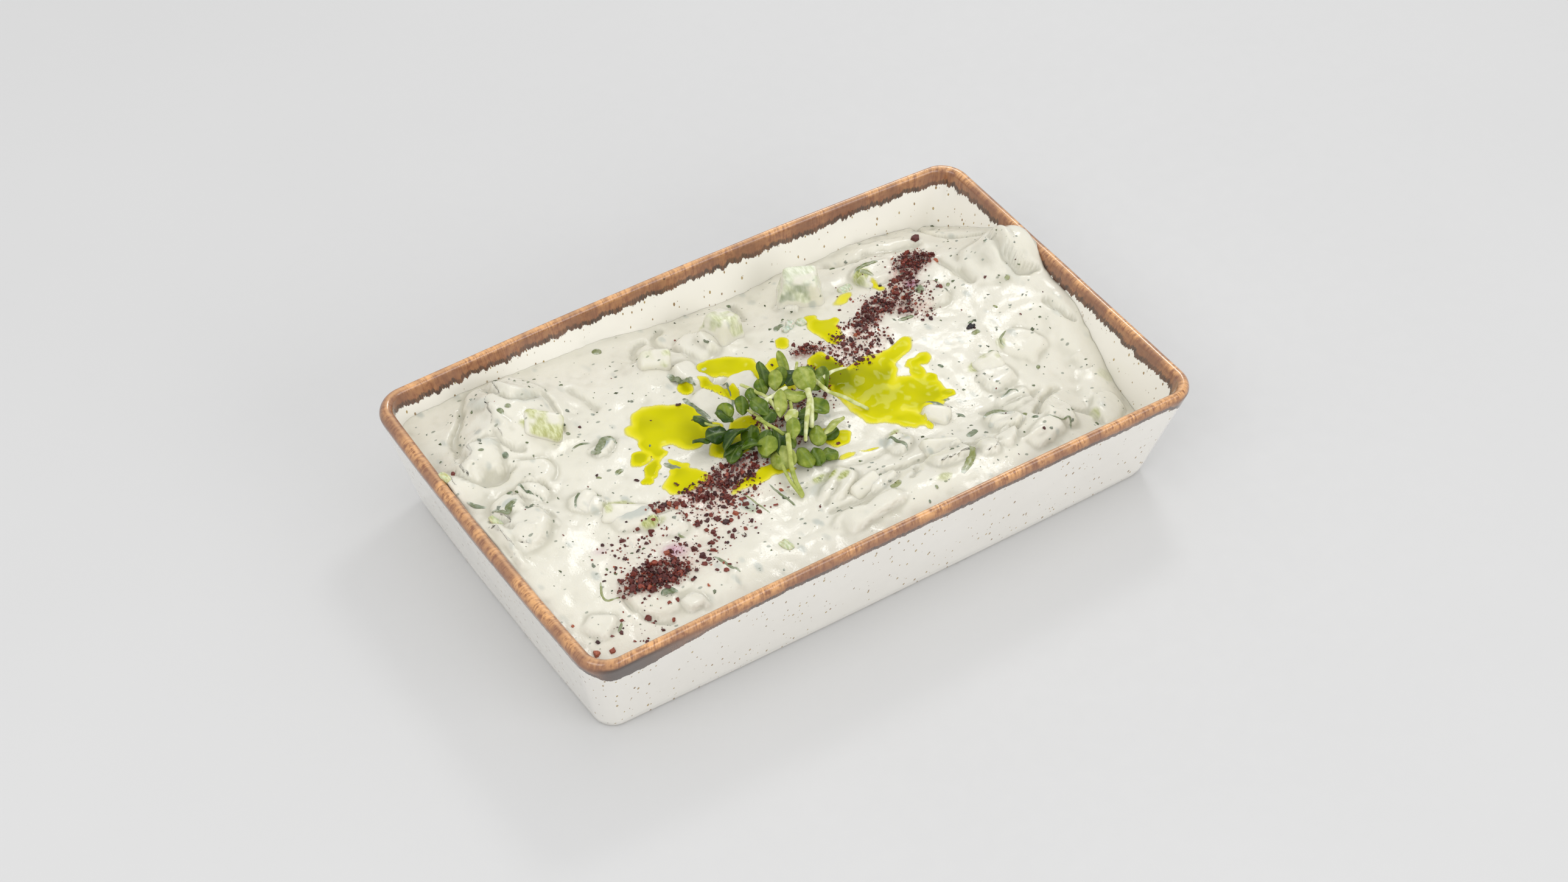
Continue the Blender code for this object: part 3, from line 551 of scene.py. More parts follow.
def glaze_material():
    shade = Shade("stoneware_glaze")
    column = shade.attribute("glaze", "Vector")
    parts = shade.add("ShaderNodeSeparateXYZ", {"Vector": column})
    lip = parts.outputs["Z"]
    along = shade.add("ShaderNodeCombineXYZ", {"X": parts.outputs["X"], "Y": parts.outputs["Y"],
                                               "Z": shade.times(lip, 0.10)}).outputs[0]
    place = shade.place()
    # body: off-white with slender brown and olive specks
    body = shade.mix(shade.noise(place, 0.05, 3.0), (0.80, 0.77, 0.705), (0.87, 0.845, 0.79))
    # painted light: the inner walls, from 2 mm past the crest inwards, are painted paler, standing in for the
    # light falling on them
    body = shade.mix(shade.range(lip, 2.0, 4.0), body, (0.91, 0.885, 0.815))
    slanted = shade.stretch(place, 1.0, 1.0, 0.55)
    specks, pick = flecks(shade, slanted, 0.74, 0.66, 0.225, 0.05)
    clump = shade.range(shade.noise(place, 0.045, 2.0), 0.26, 0.42)
    speck_colour = shade.mix(pick.outputs["Blue"], (0.24, 0.13, 0.045), (0.44, 0.32, 0.12))
    body = shade.mix(shade.times(specks, shade.times(clump, 0.95)), body, speck_colour)
    fine, _ = flecks(shade, slanted, 0.75, 0.22, 0.16, 0.08)
    body = shade.mix(shade.times(fine, 0.5), body, (0.30, 0.25, 0.17))
    # caramel band over the rim: browner inside and out, brightest on the crest, where a highlight is painted
    streak = shade.noise(along, 1.5, 5.0, 0.66, 0.6)
    mottle = shade.noise(place, 0.75, 3.0, 0.55)
    broad = shade.noise(along, 0.10, 3.0)
    grain = shade.math("ADD", shade.times(streak, 0.55), shade.times(mottle, 0.45))
    caramel = shade.mix(shade.range(grain, 0.38, 0.58), (0.27, 0.105, 0.042), (0.78, 0.41, 0.165))
    outside = shade.times(shade.range(lip, -0.7, -3.2), 0.80)
    caramel = shade.mix(outside, caramel, (0.30, 0.130, 0.060))
    inside = shade.times(shade.range(lip, 0.5, 2.4), 0.72)
    caramel = shade.mix(inside, caramel, (0.24, 0.092, 0.050))
    caramel = shade.mix(shade.range(broad, 0.42, 0.62, 0.0, 0.72), caramel, (0.23, 0.100, 0.058))
    grit, _ = flecks(shade, place, 0.22, 0.10, 0.16, 0.08)
    caramel = shade.mix(shade.times(grit, 0.9), caramel, (0.05, 0.025, 0.015))
    # ragged dark edges of the band
    teeth = shade.noise(along, 0.62, 5.0, 0.72)
    drift = shade.noise(along, 0.085, 2.0)
    smear = shade.attribute("smear")
    outer_edge = shade.times_plus(teeth, 2.6, shade.times_plus(drift, 1.6, 2.75))
    outer_edge = shade.times_plus(smear, 3.4, outer_edge)
    inner_edge = shade.times_plus(teeth, 5.4, shade.times_plus(drift, 3.0, 1.2))
    inner_edge = shade.times_plus(smear, 2.2, inner_edge)
    past_out = shade.math("SUBTRACT", shade.times(lip, -1.0), outer_edge)
    past_in = shade.math("SUBTRACT", lip, inner_edge)
    past = shade.math("MAXIMUM", past_out, past_in)
    band = shade.range(past, 0.10, -0.06)
    darkness = shade.range(past, -1.75, -1.05)
    # painted highlight: a paler line along the crest of the rim
    crest = shade.range(shade.math("ABSOLUTE", shade.math("SUBTRACT", lip, 0.3)), 0.8, 0.1, 0.0, 0.34)
    caramel = shade.mix(crest, caramel, (0.88, 0.52, 0.25))
    hatch = shade.range(shade.noise(along, 2.2, 3.0), 0.40, 0.60, 0.70, 1.0)
    darkness = shade.times(darkness, hatch)
    slate = shade.mix(shade.noise(along, 0.5, 3.0), (0.035, 0.022, 0.018), (0.105, 0.066, 0.052))
    shown = shade.times(darkness, shade.range(shade.noise(along, 0.16, 3.0), 0.34, 0.56, 0.7, 1.0))
    shown = shade.math("MAXIMUM", shown, shade.times(smear, shade.range(lip, -1.9, -2.9)))
    far_side = shade.times(shade.attribute("rear"), shade.range(lip, -0.6, -1.5, 0.0, 0.85))
    shown = shade.math("MAXIMUM", shown, far_side)
    caramel = shade.mix(shown, caramel, slate)
    colour = shade.mix(band, body, caramel)
    rough = shade.range(shade.noise(place, 0.06, 2.0), 0.3, 0.7, 0.17, 0.24)
    relief = shade.noise(place, 0.22, 1.0)
    shade.set(Base_Color=colour, Roughness=rough, IOR=1.5, Coat_Weight=0.55, Coat_Roughness=0.05,
              Normal=shade.bump(relief, 0.12, 0.0003))
    return shade.mat


# ---------------------------------------------------------------- dish
def swell(x, y, half_x, half_y):
    wide = y * (1.0 + BOW_LONG / half_y * (1.0 - (x / half_x) ** 2))
    long = x * (1.0 + BOW_SHORT / half_x * (1.0 - (y / half_y) ** 2))
    return long, wide


def arch(x, y, z, half_x, half_y):
    above = np.maximum(0.0, z - FLOOR - FLOOR_FILLET) / (CORNER_HEIGHT - FLOOR - FLOOR_FILLET)
    rise = ARCH_LONG * (1.0 - (x / half_x) ** 2) + ARCH_SHORT * (1.0 - (y / half_y) ** 2)
    return z + rise * above ** 2


def lean(z):
    return TAPER * (1.0 - z / CORNER_HEIGHT)


def cavity_inset(z):
    slope = lean(z) - lean(CORNER_HEIGHT - RIM_INNER_DROP)
    return RIM_SHORT + slope, RIM_LONG + slope


def ring_plan(half_x, half_y, radius):
    plan = []
    for turn, (side_x, side_y) in enumerate(((1, -1), (1, 1), (-1, 1), (-1, -1))):
        start = -90.0 + 90.0 * turn
        angles = np.radians(start + 90.0 * np.arange(CORNER_STEPS + 1) / CORNER_STEPS)
        corner = np.column_stack([side_x * (half_x - radius) + radius * np.cos(angles),
                                  side_y * (half_y - radius) + radius * np.sin(angles)])
        count = SHORT_STEPS if turn % 2 == 0 else LONG_STEPS
        first = corner[-1]
        last = first * ((1, -1) if turn % 2 == 0 else (-1, 1))
        shares = np.arange(1, count)[:, None] / count
        plan.extend([corner, first + (last - first) * shares])
    return np.vstack(plan)


def dish_stations():
    stations = []
    for angle in (90.0, 60.0, 30.0, 0.0):
        inset = lean(0.0) + BASE_ROUNDING * (1.0 - math.cos(math.radians(angle)))
        stations.append((inset, inset, BASE_ROUNDING * (1.0 - math.sin(math.radians(angle))), CORNER_BASE))
    edge = CORNER_HEIGHT - RIM_OUTER_DROP
    for step in range(1, WALL_STEPS + 1):
        share = step / WALL_STEPS
        z = BASE_ROUNDING + (edge - BASE_ROUNDING) * share
        stations.append((lean(z), lean(z), z, CORNER_BASE + (CORNER_TOP - CORNER_BASE) * share))
    for step in range(1, RIM_STEPS + 1):
        angle = math.pi * step / RIM_STEPS
        across = 0.5 * (1.0 - math.cos(angle))
        drop = RIM_OUTER_DROP if across < 0.5 else RIM_INNER_DROP
        z = CORNER_HEIGHT - drop * (1.0 - math.sin(angle))
        start = lean(edge) * (1.0 - across)
        stations.append((start + RIM_SHORT * across, start + RIM_LONG * across, z,
                         CORNER_TOP + (INNER_CORNER - CORNER_TOP) * across))
    top, low = CORNER_HEIGHT - RIM_INNER_DROP, FLOOR + FLOOR_FILLET
    for step in range(1, INNER_STEPS + 1):
        z = top + (low - top) * step / INNER_STEPS
        stations.append((*cavity_inset(z), z, INNER_CORNER))
    for step in range(1, 7):
        angle = math.radians(15.0 * step)
        inset_x, inset_y = cavity_inset(low)
        extra = FLOOR_FILLET * (1.0 - math.cos(angle))
        z = low - FLOOR_FILLET * math.sin(angle)
        stations.append((inset_x + extra, inset_y + extra, z, INNER_CORNER))
    return stations


def build_dish():
    stations = dish_stations()
    rings = []
    for inset_x, inset_y, z, radius in stations:
        half_x, half_y = HALF_LENGTH - inset_x, HALF_WIDTH - inset_y
        plan = ring_plan(half_x, half_y, radius)
        x, y = swell(plan[:, 0], plan[:, 1], half_x, half_y)
        level = arch(plan[:, 0], plan[:, 1], np.full(len(x), z), half_x, half_y)
        rings.append(np.column_stack([x, y, level]))
    rings = np.array(rings)
    crest = 4 + WALL_STEPS + RIM_STEPS // 2 - 1  # the ring on top of the rim
    steps = np.linalg.norm(np.diff(rings, axis=0), axis=2)
    run = np.vstack([np.zeros(rings.shape[1]), np.cumsum(steps, axis=0)])
    lip = run - run[crest]
    # hand-made unevenness, always into the clay
    count = rings.shape[1]
    shape = rings.reshape(-1, 3)
    uneven = 0.5 + 0.5 * noise(shape, 16.0, 21)
    fine = 0.5 + 0.5 * noise(shape, 5.0, 22)
    ripple = 0.5 + 0.5 * noise(np.column_stack([shape[:, 0] + shape[:, 1], shape[:, 2] * 2]), 12.0, 23)
    depth = (0.18 * uneven + 0.02 * fine + 0.04 * ripple).reshape(rings.shape[:2])
    after = np.roll(rings, -1, axis=1) - np.roll(rings, 1, axis=1)
    up = np.gradient(rings, axis=0)
    normal = np.cross(after, up)
    normal /= np.linalg.norm(normal, axis=2, keepdims=True) + 1e-9
    depth[:4] *= np.array([0.0, 0.1, 0.4, 0.8])[:, None]
    shaped = rings - normal * depth[:, :, None]
    centre = np.tile(rings[crest][None, :, :2], (len(rings), 1, 1))
    glaze = np.dstack([centre, lip])
    # the dark smear below the rim runs from the front left corner along the front
    front = np.clip((-centre[:, :, 1] - HALF_WIDTH + 8.0) / 6.0, 0.0, 1.0)
    smear = front * smooth(-88.5, -84.0, centre[:, :, 0]) * (1.0 - smooth(-78.0, -52.0, centre[:, :, 0]))
    corner = np.hypot(centre[:, :, 0] - HALF_LENGTH, centre[:, :, 1] + HALF_WIDTH)
    smear = np.maximum(smear, 0.75 * (1.0 - smooth(5.0, 12.0, corner)))
    rear = smooth(0.1, 0.6, 0.6 * centre[:, :, 0] / HALF_LENGTH + centre[:, :, 1] / HALF_WIDTH)
    verts = shaped.reshape(-1, 3)
    faces = [tuple(reversed(range(count)))]
    for level in range(len(rings) - 1):
        faces.extend(ring_faces(level * count, (level + 1) * count, count))
    faces.append(tuple((len(rings) - 1) * count + np.arange(count)))
    dish = build("dish_glazed", verts, faces, glaze_material(),
                 floats=[("smear", smear.ravel()), ("rear", rear.ravel())],
                 vectors=[("glaze", glaze.reshape(-1, 3))])
    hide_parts("dish")


# ---------------------------------------------------------------- yoghurt
def wall_halves(z, crest):
    """Half sizes of the cavity at height z, where the rim's top stands at crest."""
    top = crest - RIM_INNER_DROP
    inset_x, inset_y = cavity_inset(np.minimum(z, CORNER_HEIGHT - RIM_INNER_DROP))
    climb = np.clip((z - top) / RIM_INNER_DROP, 0.0, 0.97)
    back = 0.5 * (1.0 - np.sqrt(1.0 - climb ** 2))
    return HALF_LENGTH - inset_x + RIM_SHORT * back, HALF_WIDTH - inset_y + RIM_LONG * back


def plan_point(share_x, share_y, half_x, half_y):
    x, y = share_x * half_x, share_y * half_y
    out_x = np.clip((np.abs(x) - (half_x - INNER_CORNER)) / INNER_CORNER, 0.0, 1.0)
    out_y = np.clip((np.abs(y) - (half_y - INNER_CORNER)) / INNER_CORNER, 0.0, 1.0)
    corner = (out_x > 0.0) & (out_y > 0.0)
    round_x = half_x - INNER_CORNER + INNER_CORNER * out_x * np.sqrt(1.0 - 0.5 * out_y ** 2)
    round_y = half_y - INNER_CORNER + INNER_CORNER * out_y * np.sqrt(1.0 - 0.5 * out_x ** 2)
    x = np.where(corner, np.copysign(round_x, x), x)
    y = np.where(corner, np.copysign(round_y, y), y)
    return swell(x, y, half_x, half_y)


def patch_field(x, y, patches):
    """How crowded the patches make each place: amount for each area of their ovals, faded outwards."""
    field = np.zeros(len(x))
    for row in patches:
        along, across = turned(x, y, *row[:5])
        crowd = row[5] / (row[2] * row[3])
        field += crowd * np.exp(-1.6 * (along ** 2 + across ** 2) ** 1.4)
    return field


def build_yoghurt():
    u = np.linspace(-1.0, 1.0, GRID_X + 1)
    v = np.linspace(-1.0, 1.0, GRID_Y + 1)
    share_x, share_y = (grid.ravel() for grid in np.meshgrid(u, v))
    z = np.full(len(share_x), 27.0)
    crest = CORNER_HEIGHT + ARCH_LONG * (1.0 - share_x ** 2) + ARCH_SHORT * (1.0 - share_y ** 2)
    into_wall = 0.18
    for _ in range(3):
        half_x, half_y = wall_halves(z, crest)
        x, y = plan_point(share_x, share_y, half_x + into_wall, half_y + into_wall)
        z = surface(x, y)
        edge = np.maximum(np.abs(share_x), np.abs(share_y))
        ragged = noise(flat(x, y), 5.0, 31) + 0.6 * noise(flat(x, y), 1.8, 32)
        z = z + 0.35 * ragged * smooth(0.985, 1.0, edge)
        z = np.minimum(z, np.where(edge > 0.985, crest - 0.12, 99.0))
    powder = np.clip(patch_field(x, y, SUMAC_PATCHES[:-1]) / 9.0, 0.0, 0.62)
    stain_rows = ((-51.0, -27.5, 3.6, 2.8, 0, 6.0), (-66.0, -18.2, 2.4, 1.4, 0, 0.8),
                  (55.0, 23.0, 2.2, 2.6, 0, 4.0))
    stain = np.clip(patch_field(x, y, stain_rows), 0.0, 0.75)
    net = z.reshape(GRID_Y + 1, GRID_X + 1)
    wide = net
    # painted shade: the creases found here darken the yoghurt's colour in its material
    for _ in range(9):  # a blurred copy of the relief: where it lies above the relief is a crease
        padded = np.pad(wide, 1, "edge")
        wide = (padded[:-2, 1:-1] + padded[2:, 1:-1] + padded[1:-1, :-2] + padded[1:-1, 2:]) / 4.0
    crease_shade = np.clip((wide - net).ravel() / 0.22 - 0.10, 0.0, 1.0)
    green = np.zeros(len(x))
    grey = np.zeros(len(x))
    for centre_x, centre_y, half_long, half_wide, turn, amount, is_green in TINTS:
        along, across = turned(x, y, centre_x, centre_y, 1.12 * half_long, 1.12 * half_wide, turn)
        ragged = 0.30 * noise(flat(x, y), 2.6, 33) + 0.15 * noise(flat(x, y), 1.0, 34)
        veil = min(1.0, 1.3 * amount) * (1.0 - smooth(0.55, 1.15, np.hypot(along, across) + ragged))
        if is_green:
            green = np.maximum(green, veil)
        else:
            grey = np.maximum(grey, veil)
    verts = [np.column_stack([x, y, z])]
    index = net_index(GRID_Y + 1, GRID_X + 1)
    faces = net_faces(index).tolist()
    edge = net_border(index)
    rim = verts[0][edge]
    rings = [edge]
    count = index.size
    base = FLOOR + FLOOR_FILLET
    skirt = ((np.maximum(rim[:, 2] - 1.2, base + 0.5), 0.12),
             (np.maximum(rim[:, 2] - 4.0, base + 0.5), -0.25),
             (np.full(len(edge), base), -GAP))
    for level, inside in skirt:
        halves = wall_halves(level, crest[edge])
        ring_x, ring_y = plan_point(share_x[edge], share_y[edge], halves[0] + inside, halves[1] + inside)
        verts.append(np.column_stack([ring_x, ring_y, level]))
        rings.append(count + np.arange(len(edge)))
        count += len(edge)
    for upper, lower in zip(rings[:-1], rings[1:]):
        faces.extend(np.column_stack([lower, np.roll(lower, -1), np.roll(upper, -1), upper]).tolist())
    faces.append(tuple(reversed(rings[-1].tolist())))
    verts = np.vstack(verts)
    pad = np.zeros(len(verts) - len(x))
    floats = [(name, np.concatenate([values, pad]))
              for name, values in (("powder", powder), ("stain", stain), ("green", green), ("grey", grey),
                                 ("crease_shade", crease_shade))]
    dip = build("dip_yoghurt", verts, faces, yoghurt_material(), floats=floats)
    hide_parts("dip")


# flesh and shade showing through a thin coat: x, y, half length, half width, turn, amount, is it green
TINTS = (
    (-57.4, 24.6, 4.6, 2.2, -8, 0.9, True), (-54.5, -7.6, 3.8, 1.7, -32, 0.85, True),
    (-53, -12, 4.2, 2.6, -35, 0.45, False), (-51, -17.4, 3.2, 1.7, 0, 0.55, True),
    (-46.6, 12.4, 3.6, 1.3, 20, 0.75, False), (-28, -24, 1.7, 3.4, 0, 0.5, False),
    (-28, -25.5, 1.2, 2, 0, 0.4, True), (-7.5, -26, 3.6, 1.5, -8, 0.6, True),
    (-3.4, -29.2, 2.2, 1, 25, 0.5, True), (-10, -28, 3.8, 1.9, 25, 0.3, False),
    (17.4, -21.6, 2, 1.1, 15, 0.6, True), (13.4, -23.4, 1.6, 1.6, 0, 0.5, False),
    (53, -11.4, 4.4, 1.6, 8, 0.6, True), (2.2, 35.2, 3.6, 4.2, 0, 0.5, True),
    (45.4, 32.2, 2.6, 2, 20, 0.6, True), (-4, -20.4, 3.2, 1.2, 0, 0.35, True),
    (31.5, -20.6, 2, 2.8, 30, 0.5, False), (45, -31, 3.6, 2, -30, 0.35, False),
    (25.5, -30.2, 3.6, 1.1, -20, 0.35, False), (51.5, -23.8, 2.6, 1, 15, 0.4, False),
    (60.8, -8, 1, 2.6, -20, 0.3, True), (78, 12, 1.6, 4, 0, 0.15, False), (-72, 24, 3, 2, 0, 0.25, False),
    (-56, 33, 5, 1.6, 5, 0.25, False), (-66.5, 38.5, 1.6, 3.4, 20, 0.25, False),
    (-78.5, 3.5, 2.6, 1.2, 0, 0.4, False), (8, 42, 2.4, 4.6, -40, 0.25, False),
    (15.5, -44.8, 2.4, 1.2, 0, 0.35, True), (67.6, -39, 1, 1.8, 0, 0.35, True),
    (81, -27, 3, 1.8, 20, 0.16, True), (-34.5, -3.5, 1.4, 3.6, 25, 0.6, False),
)


# ---------------------------------------------------------------- cucumber
# each piece: share under the coat, how green its flesh shows, how much skin it has
CHUNK_LOOKS = (
    (0.5, 0.15, 0.45), (0.46, 0.6, 0.2), (0.36, 0.95, 0), (0.44, 0.7, 0.1), (0.48, 0.85, 0), (0.5, 0.8, 0),
    (0.38, 0.85, 0.25), (0.8, 0.35, 0.35), (0.78, 0.3, 0.35), (0.76, 0.5, 0.2), (0.66, 0.25, 0.65),
    (0.74, 0.35, 0.45),
)


def cucumber_material():
    shade = Shade("cucumber_flesh")
    place = shade.place()
    coat = shade.attribute("coat")
    green = shade.attribute("ripe")
    skin = shade.attribute("skin")
    stretched = shade.stretch(place, 1.6, 0.5, 0.6)
    grain = shade.range(shade.noise(stretched, 0.8, 4.0, 0.6), 0.32, 0.70)
    pale = shade.mix(grain, (0.64, 0.68, 0.52), (0.85, 0.87, 0.75))
    yellow = shade.mix(grain, (0.44, 0.45, 0.17), (0.70, 0.71, 0.44))
    flesh = shade.mix(green, pale, yellow)
    flesh = shade.mix(skin, flesh, (0.035, 0.075, 0.02))
    colour = shade.mix(coat, flesh, yoghurt_colour(shade, place))
    rough = shade.range(coat, 0.0, 1.0, 0.16, 0.30)
    shade.set(Base_Color=colour, Roughness=rough, IOR=1.38, Subsurface_Weight=0.4,
              Subsurface_Radius=(1.0, 1.0, 0.8), Subsurface_Scale=0.0014,
              Normal=shade.bump(shade.noise(place, 1.1, 3.0), 0.3, 0.0002))
    return shade.mat


def soften(source, voxel, rounds):
    """A fine, rounded copy of a node's mesh."""
    item = bpy.data.objects.new("soften", source.data.copy())
    bpy.context.scene.collection.objects.link(item)
    remesh = item.modifiers.new("remesh", "REMESH")
    remesh.mode = "VOXEL"
    remesh.voxel_size = voxel * MM
    relax = item.modifiers.new("relax", "SMOOTH")
    relax.factor = 0.5
    relax.iterations = rounds
    bpy.context.view_layer.update()
    graph = bpy.context.evaluated_depsgraph_get()
    mesh = bpy.data.meshes.new_from_object(item.evaluated_get(graph))
    points = np.empty(len(mesh.vertices) * 3)
    mesh.vertices.foreach_get("co", points)
    normals = np.empty(len(mesh.vertices) * 3)
    mesh.vertices.foreach_get("normal", normals)
    faces = [tuple(face.vertices) for face in mesh.polygons]
    bpy.data.objects.remove(item, do_unlink=True)
    return points.reshape(-1, 3) / MM, normals.reshape(-1, 3), faces


def build_cucumber():
    mat = cucumber_material()
    for index, (cover, ripe, skin_share) in enumerate(CHUNK_LOOKS):
        name = f"cucumber_{index + 1:02d}"
        points, normals, faces = soften(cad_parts[name], 0.32, 10)
        broad = noise(points, 4.2, 40 + index)
        small = noise(points, 1.6, 60 + index)
        above = points[:, 2] - surface(points[:, 0], points[:, 1])
        patch = 0.62 * broad + 0.30 * small + 2.0 * (cover - 0.5)
        coat = smooth(-0.22, 0.22, patch + 0.55 * (1.0 - smooth(0.1, 1.8, above)))
        facing = normals @ np.array(Vector((-0.75, -0.35, 0.25)).normalized())
        worn = smooth(-0.2, 0.3, noise(points, 2.2, 80 + index) + 0.3)
        skin = skin_share * smooth(0.62, 0.92, facing) * worn
        film = 0.16 * coat + 0.10 * coat * noise(points, 2.0, 90 + index) - 0.10 * smooth(0.2, 0.8, small)
        shaped = points + normals * film[:, None]
        piece = build(f"{name}_cut", shaped, faces, mat, floats=[
            ("coat", coat), ("ripe", np.full(len(points), ripe)), ("skin", skin)])
        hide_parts(name)


# ---------------------------------------------------------------- sprouts
# leaves: x, y, height over the dip, length, width, heading, pitch, roll, tone (0 dark, 1 light), curl
LEAVES = (
    (-21.5, 1.6, 4, 5, 3.6, 120, 12, 10, 0.1, 0.5), (-18.5, -0.4, 5, 5.2, 4.4, 75, 18, -10, 0.42, 0.5),
    (-14.4, -1.4, 5.6, 5.4, 3.8, 60, 22, 12, 0.34, 0.4),
    (-23.4, -2.4, 3.2, 5.6, 3.8, 160, 10, 20, 0.06, 0.6),
    (-20.4, -3.2, 4.4, 5.4, 4.2, 175, 8, -8, 0.03, 0.7),
    (-17.4, -1.6, 5.2, 4.8, 3.2, 130, 22, 10, 0.12, 0.4), (-15.6, -5, 4.8, 8.6, 3.6, 192, 2, 14, 0.05, 0.8),
    (-17, -8.2, 2.2, 7.2, 2.6, 184, 0, -12, 0.1, 0.7), (-14, -4.2, 4.4, 7.6, 4.6, 235, -6, 10, 0.26, 0.4),
    (-7.4, -7.4, 6, 8.2, 3.4, 55, 16, 8, 0.66, 0.3), (-7.2, -9.4, 6.2, 4.6, 3, 20, 10, 0, 0.82, 0.3),
    (-6.8, -12, 4.4, 5.2, 4.6, 5, 4, 6, 0.12, 0.5), (-9.6, -16.4, 6.4, 6.8, 3.4, 62, 14, -8, 0.56, 0.6),
    (-14.2, -17.8, 3.4, 8.8, 3, 62, 10, 12, 0.08, 0.5), (-17.8, -16.6, 3.8, 6.6, 5, 55, 12, -10, 0.52, 0.4),
    (-12.4, -15.4, 4.6, 7, 6.2, 240, -12, 8, 0.64, 0.5), (-9.2, -16.8, 3.8, 6, 4.6, 95, 14, 6, 0.36, 0.6),
    (-8.6, -17.2, 3.8, 6.2, 5, 278, -12, -4, 0.46, 0.6),
    (-4.4, -17.4, 2.6, 5.8, 3.8, 255, -6, 10, 0.34, 0.5), (-0.4, -13, 4.6, 6, 4.2, 245, -6, -6, 0.5, 0.5),
    (-3.8, -20.4, 2, 4.8, 4, 350, -4, 0, 0.36, 0.3), (0.4, -15.2, 1.6, 5.4, 3.4, 10, 2, 14, 0.2, 0.4),
    (-1, -15.6, 3.4, 9.6, 2.4, 18, 4, -12, 0.76, 0.3), (-4, 3.6, 4.4, 9.4, 3.6, 68, 14, 14, 0.22, 0.3),
    (3.8, 5.8, 3.8, 8.4, 2.4, 78, 16, -8, 0.58, 0.4), (-1.8, 2.6, 4.8, 6.6, 3.6, 42, 18, 8, 0.38, 0.4),
    (0.6, 2, 5.4, 5.4, 4.4, 20, 10, -8, 0.1, 0.4), (4, -4.2, 6.6, 8.2, 5.4, 84, 14, -6, 0.62, 0.5),
    (2.6, -4.6, 6.2, 7, 4.8, 148, 10, 6, 0.6, 0.5), (-5.8, 2.2, 5.2, 5, 3.4, 72, 16, 10, 0.36, 0.4),
    (-3.2, 1.4, 5.8, 6, 3.6, 60, 20, -10, 0.6, 0.4), (-9.6, -0.6, 5.6, 5.8, 3.6, 78, 14, 10, 0.3, 0.4),
    (6.6, 1, 4.2, 5.4, 3.8, 50, 14, 8, 0.34, 0.5), (8.8, -3.2, 3.6, 8.2, 3.8, 66, 8, -14, 0.4, 0.4),
    (5.6, -2.6, 5, 5.6, 3.6, 30, 6, 10, 0.44, 0.4), (1.4, -6.4, 6.4, 6.2, 4.2, 300, -4, 8, 0.4, 0.4),
    (-9.8, -5.6, 6.6, 6.2, 3.8, 110, 16, -10, 0.34, 0.5),
    (-12.4, -9.6, 5.8, 6.6, 4.2, 215, -4, 10, 0.22, 0.5), (-3.2, -8.6, 5.4, 5.6, 4, 340, 2, 8, 0.28, 0.5),
    (-12.2, -6.4, 5.4, 5.2, 3.8, 20, 12, 4, 0.16, 0.5),
    (-20.2, -8.2, 2.4, 5.2, 3.4, 210, -4, 10, 0.14, 0.5), (-4.6, -4, 5.8, 5, 3.4, 130, 12, 4, 0.48, 0.4),
    (-11, -12.4, 4.4, 7.4, 4, 200, -4, -10, 0.3, 0.4), (-15, -12.2, 3.4, 6.4, 4.4, 160, 4, 10, 0.24, 0.5),
)
# stems: points with their height over the dip, radius at both ends, tone
STEMS = (
    (((-13, -2, 6), (-7, -1.6, 7.4), (-0.6, 0.2, 6.6)), 0.8, 0.62, 0.95),
    (((-8.8, 8.6, 5.4), (-8, 4.8, 6.2), (-7.4, -0.6, 7.4), (-7, -6, 6.6)), 0.5, 0.66, 0.8),
    (((6.2, 5.2, 5), (7.4, -0.2, 5.8), (8.4, -4.6, 4.6), (11.8, -7.4, 3), (16.4, -11.8, 0.8)),
     0.6, 0.62, 0.84),
    (((8.8, 9.2, 4.2), (7, 6.8, 4.6), (5.2, 4.2, 5)), 0.45, 0.6, 0.78),
    (((3.4, -3.2, 6.8), (1.2, -8.2, 6.4), (-2.4, -13.6, 5)), 0.95, 0.7, 0.9),
    (((2.2, -6.2, 6.8), (-3.2, -12.6, 6.4), (-6.6, -17.2, 5.2)), 0.8, 0.5, 0.84),
    (((-10, -14.2, 6.6), (-12.2, -18.6, 5.4), (-14.2, -23.2, 3.2), (-15.4, -29.2, 0.7)), 0.78, 0.72, 0.74),
    (((-15.6, -20.4, 3.6), (-15.8, -24.6, 2.4), (-15.6, -29.4, 0.6)), 0.5, 0.52, 0.7),
    (((8.2, -0.8, 4.6), (13.2, 0.8, 4.4), (18.4, 1, 3.4)), 0.85, 0.3, 0.95),
    (((4.2, -0.4, 6.2), (7.2, -1.4, 5.6), (8.6, -4.4, 4.6)), 0.62, 0.55, 0.86),
    (((-24.6, 5.4, 4), (-22.8, 2, 4.4), (-20.8, -0.8, 4.6)), 0.42, 0.5, 0.75),
    (((-12.8, -4.6, 6.2), (-11.2, -8.8, 5.6), (-10.2, -13, 5.2)), 0.62, 0.5, 0.7),
    (((-13, 0.6, 5.4), (-11.8, -5.2, 6), (-12.8, -10.2, 4.6)), 0.4, 0.46, 0.78),
    (((-1, -0.4, 5.4), (-3, -5.4, 6.4), (-5.8, -10.2, 6)), 0.55, 0.45, 0.66),
    (((-4.4, 4.8, 4.4), (-9, 3.4, 4.8), (-13.2, 0.6, 5)), 0.42, 0.4, 0.8),
)


